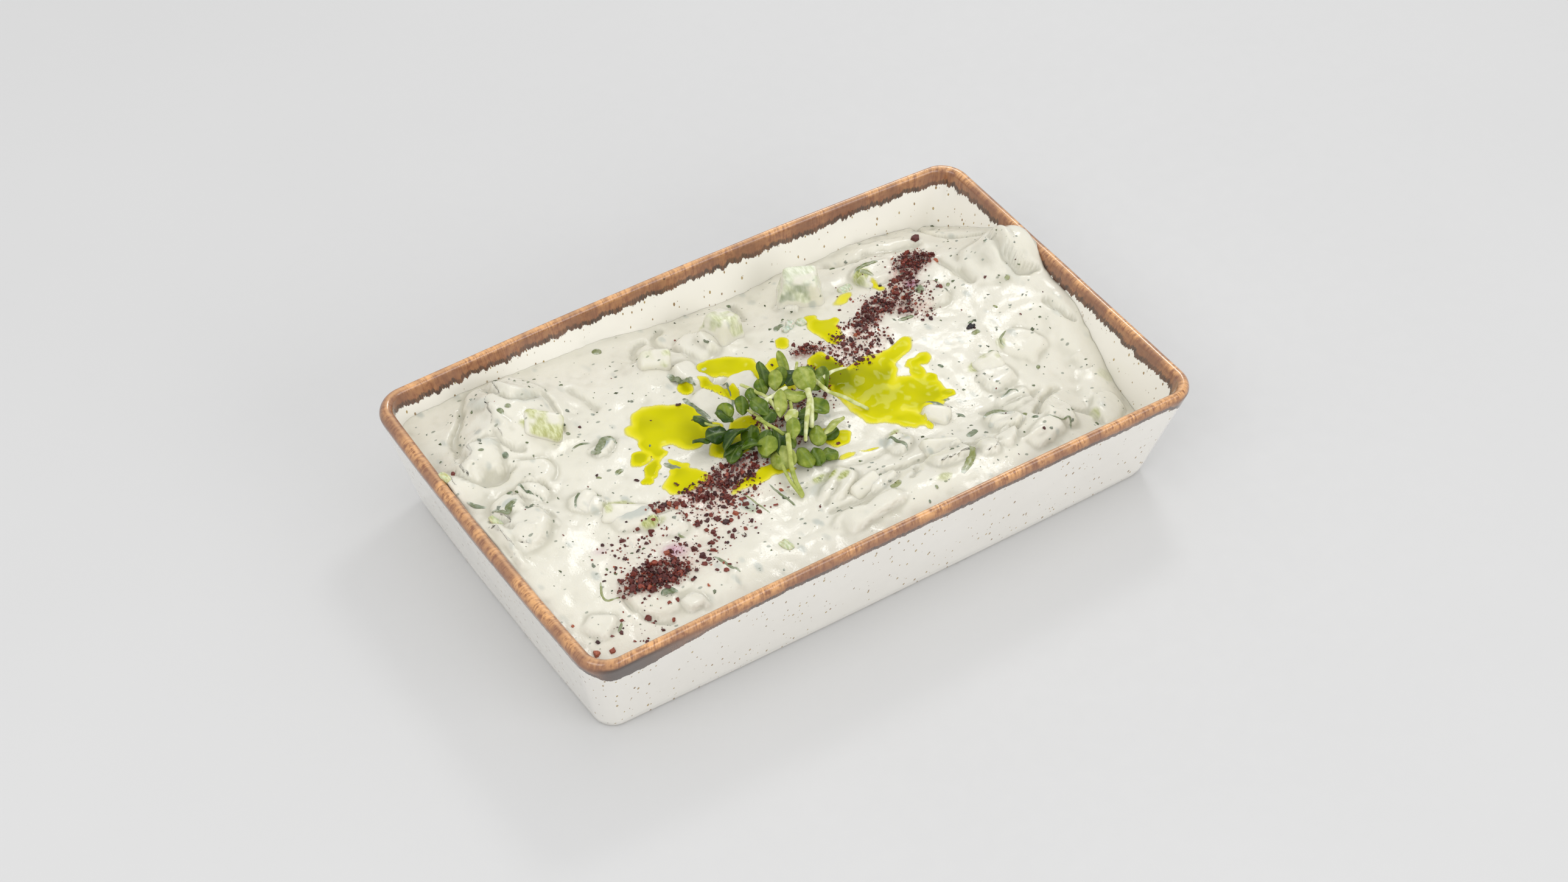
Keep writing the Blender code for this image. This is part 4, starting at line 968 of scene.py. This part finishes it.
def leaf_material():
    shade = Shade("sprout_leaf")
    place = shade.place()
    tone = shade.attribute("tone")
    rib = shade.attribute("rib")
    mottled = shade.times_plus(shade.noise(place, 0.5, 3.0), 0.70, -0.36)
    tone = shade.math("ADD", tone, mottled, clamp=True)
    green = shade.ramp(tone, ((0.0, (0.018, 0.048, 0.004)), (0.28, (0.075, 0.132, 0.006)),
                              (0.55, (0.22, 0.28, 0.028)), (0.78, (0.46, 0.50, 0.14)),
                              (1.0, (0.78, 0.79, 0.52))))
    colour = shade.mix(shade.times(rib, 0.30), green, (0.30, 0.38, 0.14))
    veins = shade.noise(place, 2.4, 3.0)
    rough = shade.range(shade.noise(place, 0.9, 2.0), 0.3, 0.7, 0.16, 0.34)
    shade.set(Base_Color=colour, Roughness=rough, IOR=1.45, Specular_IOR_Level=0.28, Subsurface_Weight=0.1,
              Subsurface_Radius=(0.7, 1.0, 0.3), Subsurface_Scale=0.0005,
              Normal=shade.bump(veins, 0.3, 0.00015))
    return shade.mat


def leaf_points(row, draw):
    """A thin shell for one seed leaf: points, faces, rib mask."""
    x, y, rise, length, width, heading, pitch, roll, tone, curl = row
    fuller = 0.95 if tone > 0.15 else 1.04
    length, width = fuller * length, fuller * width
    steps, across = 16, 10
    s = np.linspace(0.0, 1.0, steps + 1)
    t = np.linspace(-1.0, 1.0, across + 1)
    half = 0.56 * width * np.clip(1.0 - np.abs(2.0 * s ** 1.15 - 1.0) ** 2.2, 0.0, 1.0) ** 0.62
    half = np.maximum(half, 0.12)
    grid_s, grid_t = np.meshgrid(s, t, indexing="ij")
    wide = grid_t * half[:, None]
    phase = draw.uniform(0, 6.28)
    lift = -curl * (grid_s - 0.35) ** 2 * length * 0.6
    lift += -curl * (np.abs(wide) / (0.5 * width)) ** 2 * width * 0.26 * (1 if draw.random() < 0.7 else -1)
    lift += 0.26 * np.sin(3.1 * grid_s * np.pi + phase) * np.abs(grid_t) + 0.10 * np.sin(5 * grid_t + phase)
    lift += -0.12 * np.exp(-(wide / 0.35) ** 2)
    local = np.dstack([grid_s * length, wide, lift])
    angles = [math.radians(angle) for angle in (2.0 * roll, -1.4 * pitch, heading)]
    turn = Euler(angles, "XYZ").to_matrix()
    local = local.reshape(-1, 3) @ np.array(turn).T
    base = np.array([x, y, height_at(x, y) + rise])
    top = local + base
    ground = surface(top[:, 0], top[:, 1])
    top[:, 2] = np.maximum(top[:, 2], ground + 0.25)
    top[:, 2] = np.minimum(top[:, 2], CEILING - 0.15)
    count = (steps + 1) * (across + 1)
    thin = np.array(turn) @ np.array([0.0, 0.0, -LEAF_SHELL])
    under = top + thin
    index = net_index(steps + 1, across + 1)
    faces = net_faces(index)[:, [0, 3, 2, 1]]
    faces = faces.tolist() + (faces[:, ::-1] + count).tolist()
    loop = net_border(index)
    after = np.roll(loop, -1)
    faces += np.column_stack([loop, after, after + count, loop + count]).tolist()
    rib = np.exp(-(wide / 0.22) ** 2).ravel()
    return np.vstack([top, under]), faces, np.concatenate([rib, rib]), np.full(2 * count, tone)


def tube(points, radii, sides, squash=1.0, ribbed=0.0):
    """A closed tube along points, with its own radius at each of them."""
    points = np.asarray(points, float)
    along = np.gradient(points, axis=0)
    along /= np.linalg.norm(along, axis=1, keepdims=True) + 1e-9
    side = np.cross(along, (0.0, 0.0, 1.0))
    side /= np.linalg.norm(side, axis=1, keepdims=True) + 1e-9
    up = np.cross(side, along)
    angle = np.linspace(0.0, 2 * np.pi, sides, endpoint=False)
    radius = np.asarray(radii)[:, None] * (1.0 + ribbed * np.cos(3 * angle))[None, :]
    rings = (points[:, None, :] + side[:, None, :] * (radius * np.cos(angle))[:, :, None]
             + up[:, None, :] * (squash * radius * np.sin(angle))[:, :, None])
    verts = np.vstack([rings.reshape(-1, 3), points[:1], points[-1:]])
    return verts, shell_faces(len(points), sides)


class Heap:
    """Gathers many closed shells into one mesh."""

    def __init__(self):
        self.verts, self.faces, self.extra, self.count = [], [], {}, 0

    def put(self, verts, faces, **values):
        self.verts.append(np.asarray(verts, float))
        self.faces.extend([[index + self.count for index in face] for face in faces])
        self.count += len(verts)
        for key, value in values.items():
            self.extra.setdefault(key, []).append(np.broadcast_to(value, (len(verts),)).astype(float))

    def make(self, name, mat):
        floats = [(key, np.concatenate(rows)) for key, rows in self.extra.items()]
        return build(name, np.vstack(self.verts), self.faces, mat, floats=floats)


def build_sprouts():
    draw = random.Random(7)
    leaves = Heap()
    for row in LEAVES:
        verts, faces, rib, tone = leaf_points(row, draw)
        leaves.put(verts, faces, rib=rib, tone=tone)
    for points, first, last, tone in STEMS:
        line = spline_points(points, 28)
        line[:, 2] += surface(line[:, 0], line[:, 1])
        line += 0.12 * np.column_stack([noise(line, 2.5, 201 + k) for k in range(3)])
        line[:, 2] = np.minimum(line[:, 2], CEILING - first)
        radii = 0.88 * np.linspace(first, last, len(line)) * (1.0 + 0.10 * noise(line, 1.8, 205))
        radii[0] *= 0.6
        radii[-1] *= 0.6
        verts, faces = tube(line, radii, 12, 0.8, 0.06)
        leaves.put(verts, faces, rib=0.0, tone=tone)
    piece = leaves.make("sprout_leaves", leaf_material())
    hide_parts("microgreens")


# ---------------------------------------------------------------- oil
def oil_material():
    shade = Shade("olive_oil")
    place = shade.place()
    depth = shade.attribute("depth")
    uneven = shade.times_plus(shade.noise(place, 0.09, 1.0), 0.44, -0.22)
    depth = shade.math("ADD", depth, uneven, clamp=True)
    colour = shade.ramp(depth, ((0.0, (0.80, 0.74, 0.14)), (0.30, (0.76, 0.69, 0.02)),
                                (0.70, (0.63, 0.59, 0.002)), (1.0, (0.24, 0.26, 0.001))))
    cover = shade.times(shade.attribute("cover"), 0.97)
    ripple = shade.noise(place, 0.5, 2.0)
    shade.set(Base_Color=colour, Alpha=cover, IOR=1.30, Specular_IOR_Level=0.12, Roughness=0.03,
              Normal=shade.bump(ripple, 0.08, 0.0003))
    return shade.mat


def puddle_field(x, y):
    """How far inside the oil a place is: 0 at its edge, above 0 within it."""
    place = flat(x, y)
    warp_x = x + 0.9 * noise(place, 5.0, 301) + 0.5 * noise(place, 1.9, 302)
    warp_y = y + 0.9 * noise(place, 5.0, 303) + 0.5 * noise(place, 1.9, 304)
    field = np.full(len(x), -1.0)
    for puddle in OIL_PUDDLES:
        gathered = np.zeros(len(x))
        for *oval, strength in puddle:
            along, across = turned(warp_x, warp_y, *oval)
            lobe = strength * (1.12 - (along ** 2 + across ** 2))
            gathered += np.exp(5.0 * np.clip(lobe, -2.0, 1.0))
        field = np.maximum(field, np.log(gathered + 1e-9) / 5.0 - 0.10)
    return field


def build_oil():
    xs, ys = np.arange(-48.0, 52.0, OIL_GRID), np.arange(-27.0, 34.0, OIL_GRID)
    grid_x, grid_y = (grid.ravel() for grid in np.meshgrid(xs, ys))
    field = puddle_field(grid_x, grid_y)
    ground = surface(grid_x, grid_y)
    hollow = ground - dip_level(grid_x, grid_y)
    field = field - 0.06 * np.clip(hollow, -1.2, 2.0)
    inside = field > -0.10
    quads = net_faces(net_index(len(ys), len(xs)))
    quads = quads[inside[quads].any(axis=1)]
    used, renamed = np.unique(quads, return_inverse=True)
    quads = renamed.reshape(quads.shape)
    count = len(used)
    rise = np.clip(field[used] * 0.6, -0.5, OIL_RISE)
    top = np.column_stack([grid_x[used], grid_y[used], ground[used] + rise])
    under = top - (0.0, 0.0, OIL_DEPTH)
    edges = {}
    for quad in quads.tolist():
        for a, b in zip(quad, quad[1:] + quad[:1]):
            edges[(a, b)] = True
    faces = quads.tolist() + (quads[:, ::-1] + count).tolist()
    faces += [[b, a, a + count, b + count] for a, b in edges if (b, a) not in edges]
    pool = patch_field(grid_x[used], grid_y[used], DEEP_OIL)
    depth = 0.72 * smooth(-0.02, 0.62, field[used]) + 0.28 * np.clip(pool, 0.0, 1.0)
    softness = 0.12 + 0.15 * np.clip(patch_field(grid_x[used], grid_y[used], SOFT_OIL), 0.0, 1.0)
    cover = smooth(0.0, 1.0, field[used] / softness)
    build("olive_oil_film", np.vstack([top, under]), faces, oil_material(),
          floats=[("depth", np.concatenate([depth, depth])), ("cover", np.concatenate([cover, cover]))])


# ---------------------------------------------------------------- sumac and herbs
def crumb_shells(x, y, z, sizes, tilt, draw, flatness):
    """One irregular closed crumb at each place: points (n, 12, 3) and their faces."""
    count = len(x)
    sides = 6
    even = np.linspace(0, 2 * np.pi, sides, endpoint=False)[None, :]
    angle = even + draw.uniform(-0.35, 0.35, (count, sides))
    reach = draw.uniform(0.62, 1.18, (count, sides))
    stretch = draw.uniform(0.55, 1.0, count)[:, None]
    ring_x, ring_y = reach * np.cos(angle), reach * np.sin(angle) * stretch
    above = flatness[:, None] + draw.uniform(-0.15, 0.15, (count, sides))
    below = -flatness[:, None] + draw.uniform(-0.15, 0.15, (count, sides))
    upper = np.stack([ring_x * 0.80, ring_y * 0.80, above], 2)
    lower = np.stack([ring_x, ring_y, below], 2)
    shells = np.concatenate([upper, lower], axis=1) * (0.5 * sizes)[:, None, None]
    a, b = tilt * draw.normal(size=count), tilt * draw.normal(size=count)
    c = draw.uniform(0, 2 * np.pi, count)
    ca, sa, cb, sb, cc, sc = np.cos(a), np.sin(a), np.cos(b), np.sin(b), np.cos(c), np.sin(c)
    px, py, pz = shells[:, :, 0], shells[:, :, 1], shells[:, :, 2]
    px, py = px * cc[:, None] - py * sc[:, None], px * sc[:, None] + py * cc[:, None]
    py, pz = py * ca[:, None] - pz * sa[:, None], py * sa[:, None] + pz * ca[:, None]
    px, pz = px * cb[:, None] + pz * sb[:, None], pz * cb[:, None] - px * sb[:, None]
    shells = np.stack([px + x[:, None], py + y[:, None], pz + z[:, None]], 2)
    row = np.arange(sides)
    one = [list(row), list(row[::-1] + sides)] + ring_faces(sides, 0, sides)
    faces = []
    for index in range(count):
        start = index * 2 * sides
        faces.extend([[start + k for k in face] for face in one])
    return shells.reshape(-1, 3), faces


def crumb_material(name, colours, roughness):
    shade = Shade(name)
    place = shade.place()
    stops = [(index / (len(colours) - 1), colour) for index, colour in enumerate(colours)]
    colour = shade.ramp(shade.attribute("tone"), stops)
    grain = shade.range(shade.noise(place, 3.5, 2.0), 0.3, 0.7, 0.65, 1.25)
    tinted = shade.add("ShaderNodeVectorMath", {0: colour}, operation="SCALE")
    shade.put(tinted.inputs["Scale"], grain)
    shade.set(Base_Color=tinted.outputs[0], Roughness=roughness, Normal=shade.bump(grain, 0.4, 0.0001))
    return shade.mat


def build_sumac():
    draw = np.random.default_rng(11)
    xs, ys, crowd, grades = [], [], [], []
    for centre_x, centre_y, half_long, half_wide, turn, amount, grade in SUMAC_PATCHES:
        amount = int(round(CRUMB_CROWDING * amount))
        radius = np.sqrt(draw.uniform(0, 1, amount)) * (0.75 + 0.45 * draw.uniform(0, 1, amount))
        angle = draw.uniform(0, 2 * np.pi, amount)
        angle_turn = math.radians(turn)
        u, v = radius * np.cos(angle) * half_long, radius * np.sin(angle) * half_wide
        xs.append(centre_x + u * math.cos(angle_turn) - v * math.sin(angle_turn))
        ys.append(centre_y + u * math.sin(angle_turn) + v * math.cos(angle_turn))
        crowd.append(np.full(amount, amount / (half_long * half_wide)))
        grades.append(np.full(amount, grade))
    x, y, crowd, grades = (np.concatenate(rows) for rows in (xs, ys, crowd, grades))
    keep = (np.abs(x) < 84.5) & (np.abs(y) < 48.5)
    x, y, crowd, grades = x[keep], y[keep], crowd[keep], grades[keep]
    clump = noise(flat(x, y), 2.6, 401) + 0.5 * noise(flat(x, y), 1.1, 402)
    keep = clump > -0.45 - 0.1 * np.minimum(crowd, 4)
    x, y, crowd, grades = x[keep], y[keep], crowd[keep], grades[keep]
    sizes = grades * np.clip(np.exp(draw.normal(-0.30, 0.55, len(x))), 0.28, 2.4)
    pile = np.clip(crowd - 3.0, 0.0, 9.0) / 9.0
    z = surface(x, y) + 0.10 * sizes + pile * draw.uniform(0.0, 1.3, len(x))
    oily = puddle_field(x, y)
    z += np.clip(oily, 0.0, 0.2)
    flatness = draw.uniform(0.14, 0.42, len(x))
    verts, faces = crumb_shells(x, y, z, sizes, 0.45, draw, flatness)
    tone = np.repeat(np.clip(draw.normal(0.33, 0.24, len(x)), 0, 1), 12)
    colours = ((0.038, 0.006, 0.006), (0.11, 0.014, 0.010), (0.23, 0.036, 0.018), (0.42, 0.11, 0.05))
    mat = crumb_material("sumac_flake", colours, 0.45)
    build("sumac_crumbs", verts, faces, mat, False, floats=[("tone", tone)])
    # a few larger flakes
    big = np.array(FLAKES)
    lift = surface(big[:, 0], big[:, 1]) + 0.12 * big[:, 2]
    verts, faces = crumb_shells(big[:, 0], big[:, 1], lift, big[:, 2], 0.12, draw, np.full(len(big), 0.22))
    build("sumac_flakes", verts, faces, mat, False, floats=[("tone", np.repeat(big[:, 3], 12))])


def build_herbs():
    draw = np.random.default_rng(23)
    count = 900
    x, y = draw.uniform(-84, 84, count), draw.uniform(-47.5, 47.5, count)
    crowded = patch_field(x, y, SUMAC_PATCHES[:-1])
    keep = (crowded < 2.0) & (puddle_field(x, y) < 0.25)
    x, y = x[keep], y[keep]
    sizes = np.clip(np.exp(draw.normal(-0.38, 0.50, len(x))), 0.25, 2.2)
    z = surface(x, y) - 0.05 * sizes + draw.uniform(-0.06, 0.03, len(x))
    verts, faces = crumb_shells(x, y, z, sizes, 0.10, draw, np.full(len(x), 0.14))
    tone = np.repeat(draw.uniform(0, 1, len(x)), 12)
    colours = ((0.035, 0.05, 0.015), (0.12, 0.15, 0.06), (0.20, 0.22, 0.17), (0.34, 0.37, 0.31))
    mat = crumb_material("herb_fleck", colours, 0.40)
    build("herb_flecks", verts, faces, mat, False, floats=[("tone", tone)])


# edges of skin that show at the surface: points, width, tone (0 dark green, 1 olive)
PEELS = (
    (((-64, -3.5), (-62, -0.8), (-58.2, 1.6)), 0.55, 0.15),
    (((-58.2, 1.6), (-57.4, 0.2), (-56.8, -2.2)), 0.7, 0.35),
    (((-85, 12), (-83.6, 10), (-81.8, 8.4)), 0.8, 0.2),
    (((-72.4, 10), (-71.2, 6.2), (-69.5, 2.5)), 0.9, 0.1),
    (((-82.2, 5), (-80.4, 1.2), (-78.6, 2.3), (-76.2, 3.2)), 1, 0.35),
    (((-76.2, 8.2), (-75.8, 6)), 0.8, 0.2),
    (((-50.4, 12), (-49.4, 10.8), (-47, 12.4), (-45.2, 13.8), (-43.2, 11.6)), 1.5, 0.35),
    (((-53.5, 15.5), (-51, 16.2), (-48.5, 15.3)), 0.45, 0.25),
    (((-52.5, 39), (-51.2, 41), (-50, 43)), 0.45, 0.3), (((-65, 32), (-64.6, 30)), 1, 0.4),
    (((-63.2, 31.8), (-61.8, 30.8)), 0.8, 0.5), (((-69.9, 20.9), (-69.5, 19.6)), 1.3, 0.05),
    (((-52.2, 21), (-51, 20.8)), 0.8, 0.3), (((-37.4, 6.3), (-36.5, 5.7)), 1.3, 0.05),
    (((-75.8, 22.6), (-74.4, 22.2)), 0.6, 0.3), (((-44.6, -34.8), (-43.6, -39), (-42.5, -43)), 0.55, 0.35),
    (((-47.2, -23), (-46.5, -25.2)), 0.5, 0.5), (((-62.6, -34.8), (-61.4, -36.6)), 1.8, 0.25),
    (((-61.8, -38.8), (-59.8, -39.2), (-58, -39.8)), 1.3, 0.15),
    (((-37.2, -0.8), (-35.5, -4), (-33.8, -7)), 1.1, 0.3),
    (((-71.2, -27), (-73.2, -31), (-72.6, -33), (-69.6, -33.4)), 0.4, 0.85),
    (((-73.6, -40.2), (-75.8, -42.6)), 0.5, 0.4), (((-19.8, -21), (-18.6, -27), (-18.2, -30.5)), 0.4, 0.35),
    (((-26.8, -19), (-26, -24), (-25, -29.5)), 0.35, 0.7),
    (((-5, -34), (-1, -32.3), (3.8, -30.9)), 0.9, 0.75),
    (((3.8, -30.9), (3.2, -32.6), (2.6, -34.4)), 0.4, 0.5),
    (((14.2, -22), (15.4, -24), (16, -26.8), (15.9, -29)), 0.7, 0.2),
    (((21, -29.6), (22.4, -28), (25, -29.4), (28.5, -31)), 0.75, 0.15),
    (((29, -36.6), (26.8, -40), (24.5, -43.2), (20, -46)), 1.5, 0.8),
    (((3.8, -38.8), (4.8, -40.2), (6.4, -39.2)), 1.3, 0.9), (((8.4, -49.2), (7.9, -49)), 0.8, 0.1),
    (((11.4, -46.4), (12.2, -46.6)), 0.8, 0.5), (((30.4, -16.4), (32.4, -19.3), (33.6, -22.6)), 1.2, 0.2),
    (((33, -16.6), (35, -17), (37.2, -17.8)), 0.8, 0.8),
    (((35.5, -23), (36.2, -24.2), (36.5, -25.4)), 0.6, 0.1),
    (((31.8, -32.6), (34, -32.4), (35.6, -31.2)), 1.2, 0.2),
    (((40.2, -29), (42.6, -27.5), (46, -29.4), (47.8, -33)), 1.2, 0.45),
    (((46.8, -36), (48.2, -35)), 1.3, 0.6), (((47.5, -37.8), (49.2, -38.7)), 0.6, 0.05),
    (((48.6, -24.4), (51, -23.6), (53.3, -22.5), (53.7, -25)), 0.5, 0.15),
    (((51, -39.6), (53.5, -41), (57, -41.4), (56, -43.4)), 0.45, 0.3),
    (((56, -9), (57.4, -9), (58.6, -9.9)), 0.45, 0.35), (((60.9, -9.5), (62, -6.5), (64.8, -5)), 0.45, 0.6),
    (((55.8, -2.2), (57.2, -1.8), (58.8, -1.6)), 1, 0.7), (((60.2, -38.2), (61.2, -37.6)), 0.7, 0.2),
    (((41.6, -7.6), (42.4, -7.1)), 1, 0.05), (((64.6, -18.8), (66, -17.8)), 0.7, 0.5),
    (((-20, 17.4), (-19.4, 13), (-18.9, 9.6), (-18.4, 7.4)), 1.2, 0.2),
    (((-18.9, 26.6), (-17.4, 23.8), (-15, 19.3)), 1.6, 0.3),
    (((-9, 17.2), (-8.6, 14.6), (-10.4, 9.4), (-13, 5.6)), 0.6, 0.1),
    (((-28.6, 45.4), (-27.4, 47.2)), 1.6, 0.55), (((12, 45.4), (12.5, 46.8)), 0.9, 0.1),
    (((14.4, 26.9), (15.6, 27.8), (17.6, 28.2)), 1.1, 0.25),
    (((-21.6, 37.5), (-20.3, 34), (-18.2, 30.8), (-16.8, 29)), 1.2, 0.75),
    (((57.6, 2), (59.6, 2.2)), 0.55, 0.3), (((75, 9.4), (76.4, 9.8)), 1, 0.95),
    (((53.4, 19.8), (55.4, 18.4)), 2, 0.3), (((44, 34.2), (48, 34.6), (51.5, 34.2)), 0.8, 0.5),
    (((45.4, 33.4), (46.6, 31.6), (47.2, 30)), 1.1, 0.75),
    (((43, 12.6), (45.4, 12.2), (47.6, 12.2)), 0.8, 0.4), (((62, 16.8), (63.2, 18.2)), 0.6, 0.7),
    (((67, 3.2), (67.8, 3.4)), 0.9, 0.85), (((-53.6, 2.8), (-53.2, 3.4)), 0.9, 0.6),
    (((-49.4, 2.2), (-46.8, 3)), 0.9, 0.5), (((77, 20.8), (77.1, 22)), 0.6, 0.1),
)


def build_peels():
    shade = Shade("cucumber_skin")
    place = shade.place()
    tone = shade.attribute("tone")
    uneven = shade.times_plus(shade.noise(place, 1.2, 3.0), 0.5, -0.25)
    mottled = shade.math("ADD", tone, uneven, clamp=True)
    skin = shade.mix(mottled, (0.045, 0.085, 0.022), (0.24, 0.26, 0.05))
    thin = shade.range(shade.noise(place, 0.9, 3.0), 0.25, 0.65)
    veil = shade.times(shade.attribute("veil"), thin)
    colour = shade.mix(veil, skin, (0.66, 0.68, 0.60))
    shade.set(Base_Color=colour, Roughness=shade.range(shade.noise(place, 0.8), 0.3, 0.7, 0.2, 0.4),
              Subsurface_Weight=0.15, Subsurface_Scale=0.0006, Normal=shade.bump(mottled, 0.3, 0.0002))
    strips = Heap()
    for index, (points, width, colour_tone) in enumerate(PEELS):
        line = spline_points(points, 26) if len(points) > 2 else np.linspace(points[0], points[1], 14)
        line = line + 0.12 * np.column_stack([noise(line, 1.2, 501), noise(line, 1.2, 502)])
        share = np.linspace(0.0, 1.0, len(line))
        taper = np.clip(np.sin(np.pi * (0.03 + 0.94 * share)), 0.05, 1.0) ** 0.45
        radii = 0.80 * width * taper * (1.0 + 0.22 * noise(line, 0.9, 503 + index))
        z = surface(line[:, 0], line[:, 1]) + 0.01 - 0.06 * (1.0 - taper)
        verts, faces = tube(np.column_stack([line, z]), radii, 12, 0.26)
        veil_line = np.repeat(smooth(0.45, 1.0, np.abs(2 * share - 1)) * 0.75 + 0.25, 12)
        strips.put(verts, faces, tone=colour_tone, veil=np.concatenate([veil_line, [1.0, 1.0]]))
    strips.make("cucumber_skin_edges", shade.mat)


# small glassy bits of cucumber: x, y, three half sizes, turn, tone
BITS = (
    (-28.1, -41, 1.3, 1.9, 0.5, 8, 0.75), (18.4, 26.6, 1.7, 1.1, 0.9, 50, 0.35),
    (21.6, 26, 1.5, 1.3, 0.8, 0, 0.5), (16.4, 25.6, 0.9, 1, 0.6, 20, 0.3), (-86.2, 20.4, 1, 2, 0.9, 12, 1),
    (-9.2, 24.4, 0.8, 0.6, 0.3, 0, 0.9), (-82.8, 1.4, 1, 2.6, 0.6, 10, 0.9),
    (39.5, 31.6, 2.2, 1.4, 0.5, 10, 0.55),
)


def build_bits():
    shade = Shade("cucumber_glassy")
    place = shade.place()
    tone = shade.attribute("tone")
    stretched = shade.stretch(place, 2.0, 0.7, 1.0)
    streaks = shade.range(shade.noise(stretched, 1.0, 3.0), 0.3, 0.7)
    grey = shade.mix(streaks, (0.40, 0.45, 0.42), (0.66, 0.71, 0.68))
    green = shade.mix(streaks, (0.48, 0.52, 0.22), (0.72, 0.74, 0.50))
    colour = shade.mix(tone, grey, green)
    shade.set(Base_Color=colour, Roughness=0.12, IOR=1.36, Subsurface_Weight=0.5, Subsurface_Scale=0.0012,
              Normal=shade.bump(streaks, 0.3, 0.0003))
    bits = Heap()
    for index, (x, y, half_x, half_y, half_z, turn, colour_tone) in enumerate(BITS):
        rows, columns = 14, 20
        v = np.linspace(-np.pi / 2, np.pi / 2, rows + 1)[1:-1]
        u = np.linspace(0, 2 * np.pi, columns, endpoint=False)
        grid_v, grid_u = np.meshgrid(v, u, indexing="ij")
        unit = np.column_stack([(np.cos(grid_v) * np.cos(grid_u)).ravel(),
                                (np.cos(grid_v) * np.sin(grid_u)).ravel(), np.sin(grid_v).ravel()])
        unit = np.vstack([unit, (0, 0, -1), (0, 0, 1)])
        power = 3.2
        shape = unit / (np.sum(np.abs(unit) ** power, axis=1) ** (1 / power))[:, None]
        shape = shape * (half_x, half_y, half_z) * (1.0 + 0.14 * noise(unit + index * 7.0, 0.6, 601)[:, None])
        angle = math.radians(turn)
        moved_x = shape[:, 0] * math.cos(angle) - shape[:, 1] * math.sin(angle) + x
        moved_y = shape[:, 0] * math.sin(angle) + shape[:, 1] * math.cos(angle) + y
        z = shape[:, 2] + height_at(x, y) + 0.25 * half_z
        bits.put(np.column_stack([moved_x, moved_y, z]), shell_faces(rows - 1, columns), tone=colour_tone)
    bits.make("cucumber_bits", shade.mat)


def build_seed():
    """The one black seed on the right."""
    draw = np.random.default_rng(5)
    x, y = np.array([57.4, 56.6, 58.2]), np.array([0.4, 0.2, 0.3])
    z = surface(x, y) + 0.3
    verts, faces = crumb_shells(x, y, z, np.array([2.3, 1.5, 1.4]), 0.1, draw, np.full(3, 0.38))
    mat = crumb_material("dark_seed", ((0.012, 0.010, 0.012), (0.03, 0.015, 0.02)), 0.3)
    build("dark_seed", verts, faces, mat, floats=[("tone", np.repeat([0.2, 0.6, 0.4], 12))])


# ---------------------------------------------------------------- stage
def build_stage():
    shade = Shade("studio_sweep")
    place = shade.place((0.1, 0.1, 0.1))
    colour = shade.mix(shade.noise(place, 0.12, 3.0), (0.625, 0.625, 0.625), (0.65, 0.65, 0.65))
    shade.set(Base_Color=colour, Roughness=shade.range(shade.noise(place, 2.0), 0.3, 0.7, 0.55, 0.7))
    size = 1.6
    mesh = bpy.data.meshes.new("floor")
    corners = [(-size, -size, 0), (size, -size, 0), (size, size, 0), (-size, size, 0)]
    mesh.from_pydata(corners, [], [(0, 1, 2, 3)])
    mesh.materials.append(shade.mat)
    floor = bpy.data.objects.new("floor", mesh)
    bpy.context.scene.collection.objects.link(floor)


def add_light(name, place, target, size, power):
    data = bpy.data.lights.new(name, "AREA")
    data.shape = "RECTANGLE"
    data.size, data.size_y = size
    data.energy = power
    item = bpy.data.objects.new(name, data)
    item.location = place
    item.rotation_euler = (Vector(target) - Vector(place)).to_track_quat("-Z", "Y").to_euler()
    bpy.context.scene.collection.objects.link(item)


def build_lights():
    add_light("key", (0.42, 0.38, 0.62), (0, 0, 0.02), (0.17, 0.17), 0.82)
    add_light("top", (-0.10, 0.05, 0.95), (0, 0, 0), (0.9, 0.9), 0.62)
    add_light("front", (0.30, -0.80, 0.42), (0, 0, 0.02), (0.7, 0.4), 2.0)
    add_light("left", (-0.60, -0.22, 0.66), (0, 0, 0.02), (0.6, 0.4), 1.75)
    world = bpy.data.worlds.new("studio")
    bpy.context.scene.world = world
    world.use_nodes = True
    back = world.node_tree.nodes["Background"]
    back.inputs["Color"].default_value = (1.0, 1.0, 1.0, 1.0)
    back.inputs["Strength"].default_value = 0.80


def build_camera():
    around, above, roll = math.radians(-35.40), math.radians(44.64), 0.0387
    target, reach = Vector((0.00854, 0.01321, 0.0)), 0.760977
    back = Vector((math.sin(around) * math.cos(above), -math.cos(around) * math.cos(above), math.sin(above)))
    side = (-back).cross(Vector((0, 0, 1))).normalized()
    up = side.cross(-back)
    right = side * math.cos(roll) + up * math.sin(roll)
    top = up * math.cos(roll) - side * math.sin(roll)
    data = bpy.data.cameras.new("camera")
    data.lens = 66.92
    data.sensor_width = 36.0
    camera = bpy.data.objects.new("camera", data)
    bpy.context.scene.collection.objects.link(camera)
    place = target + back * reach
    camera.matrix_world = Matrix((
        (right.x, top.x, back.x, place.x),
        (right.y, top.y, back.y, place.y),
        (right.z, top.z, back.z, place.z),
        (0, 0, 0, 1),
    ))
    bpy.context.scene.camera = camera


build_dish()
build_yoghurt()
build_cucumber()
build_sprouts()
build_oil()
build_sumac()
build_herbs()
build_peels()
build_bits()
build_seed()
build_stage()
build_lights()
build_camera()
bpy.context.scene.view_settings.view_transform = "Standard"
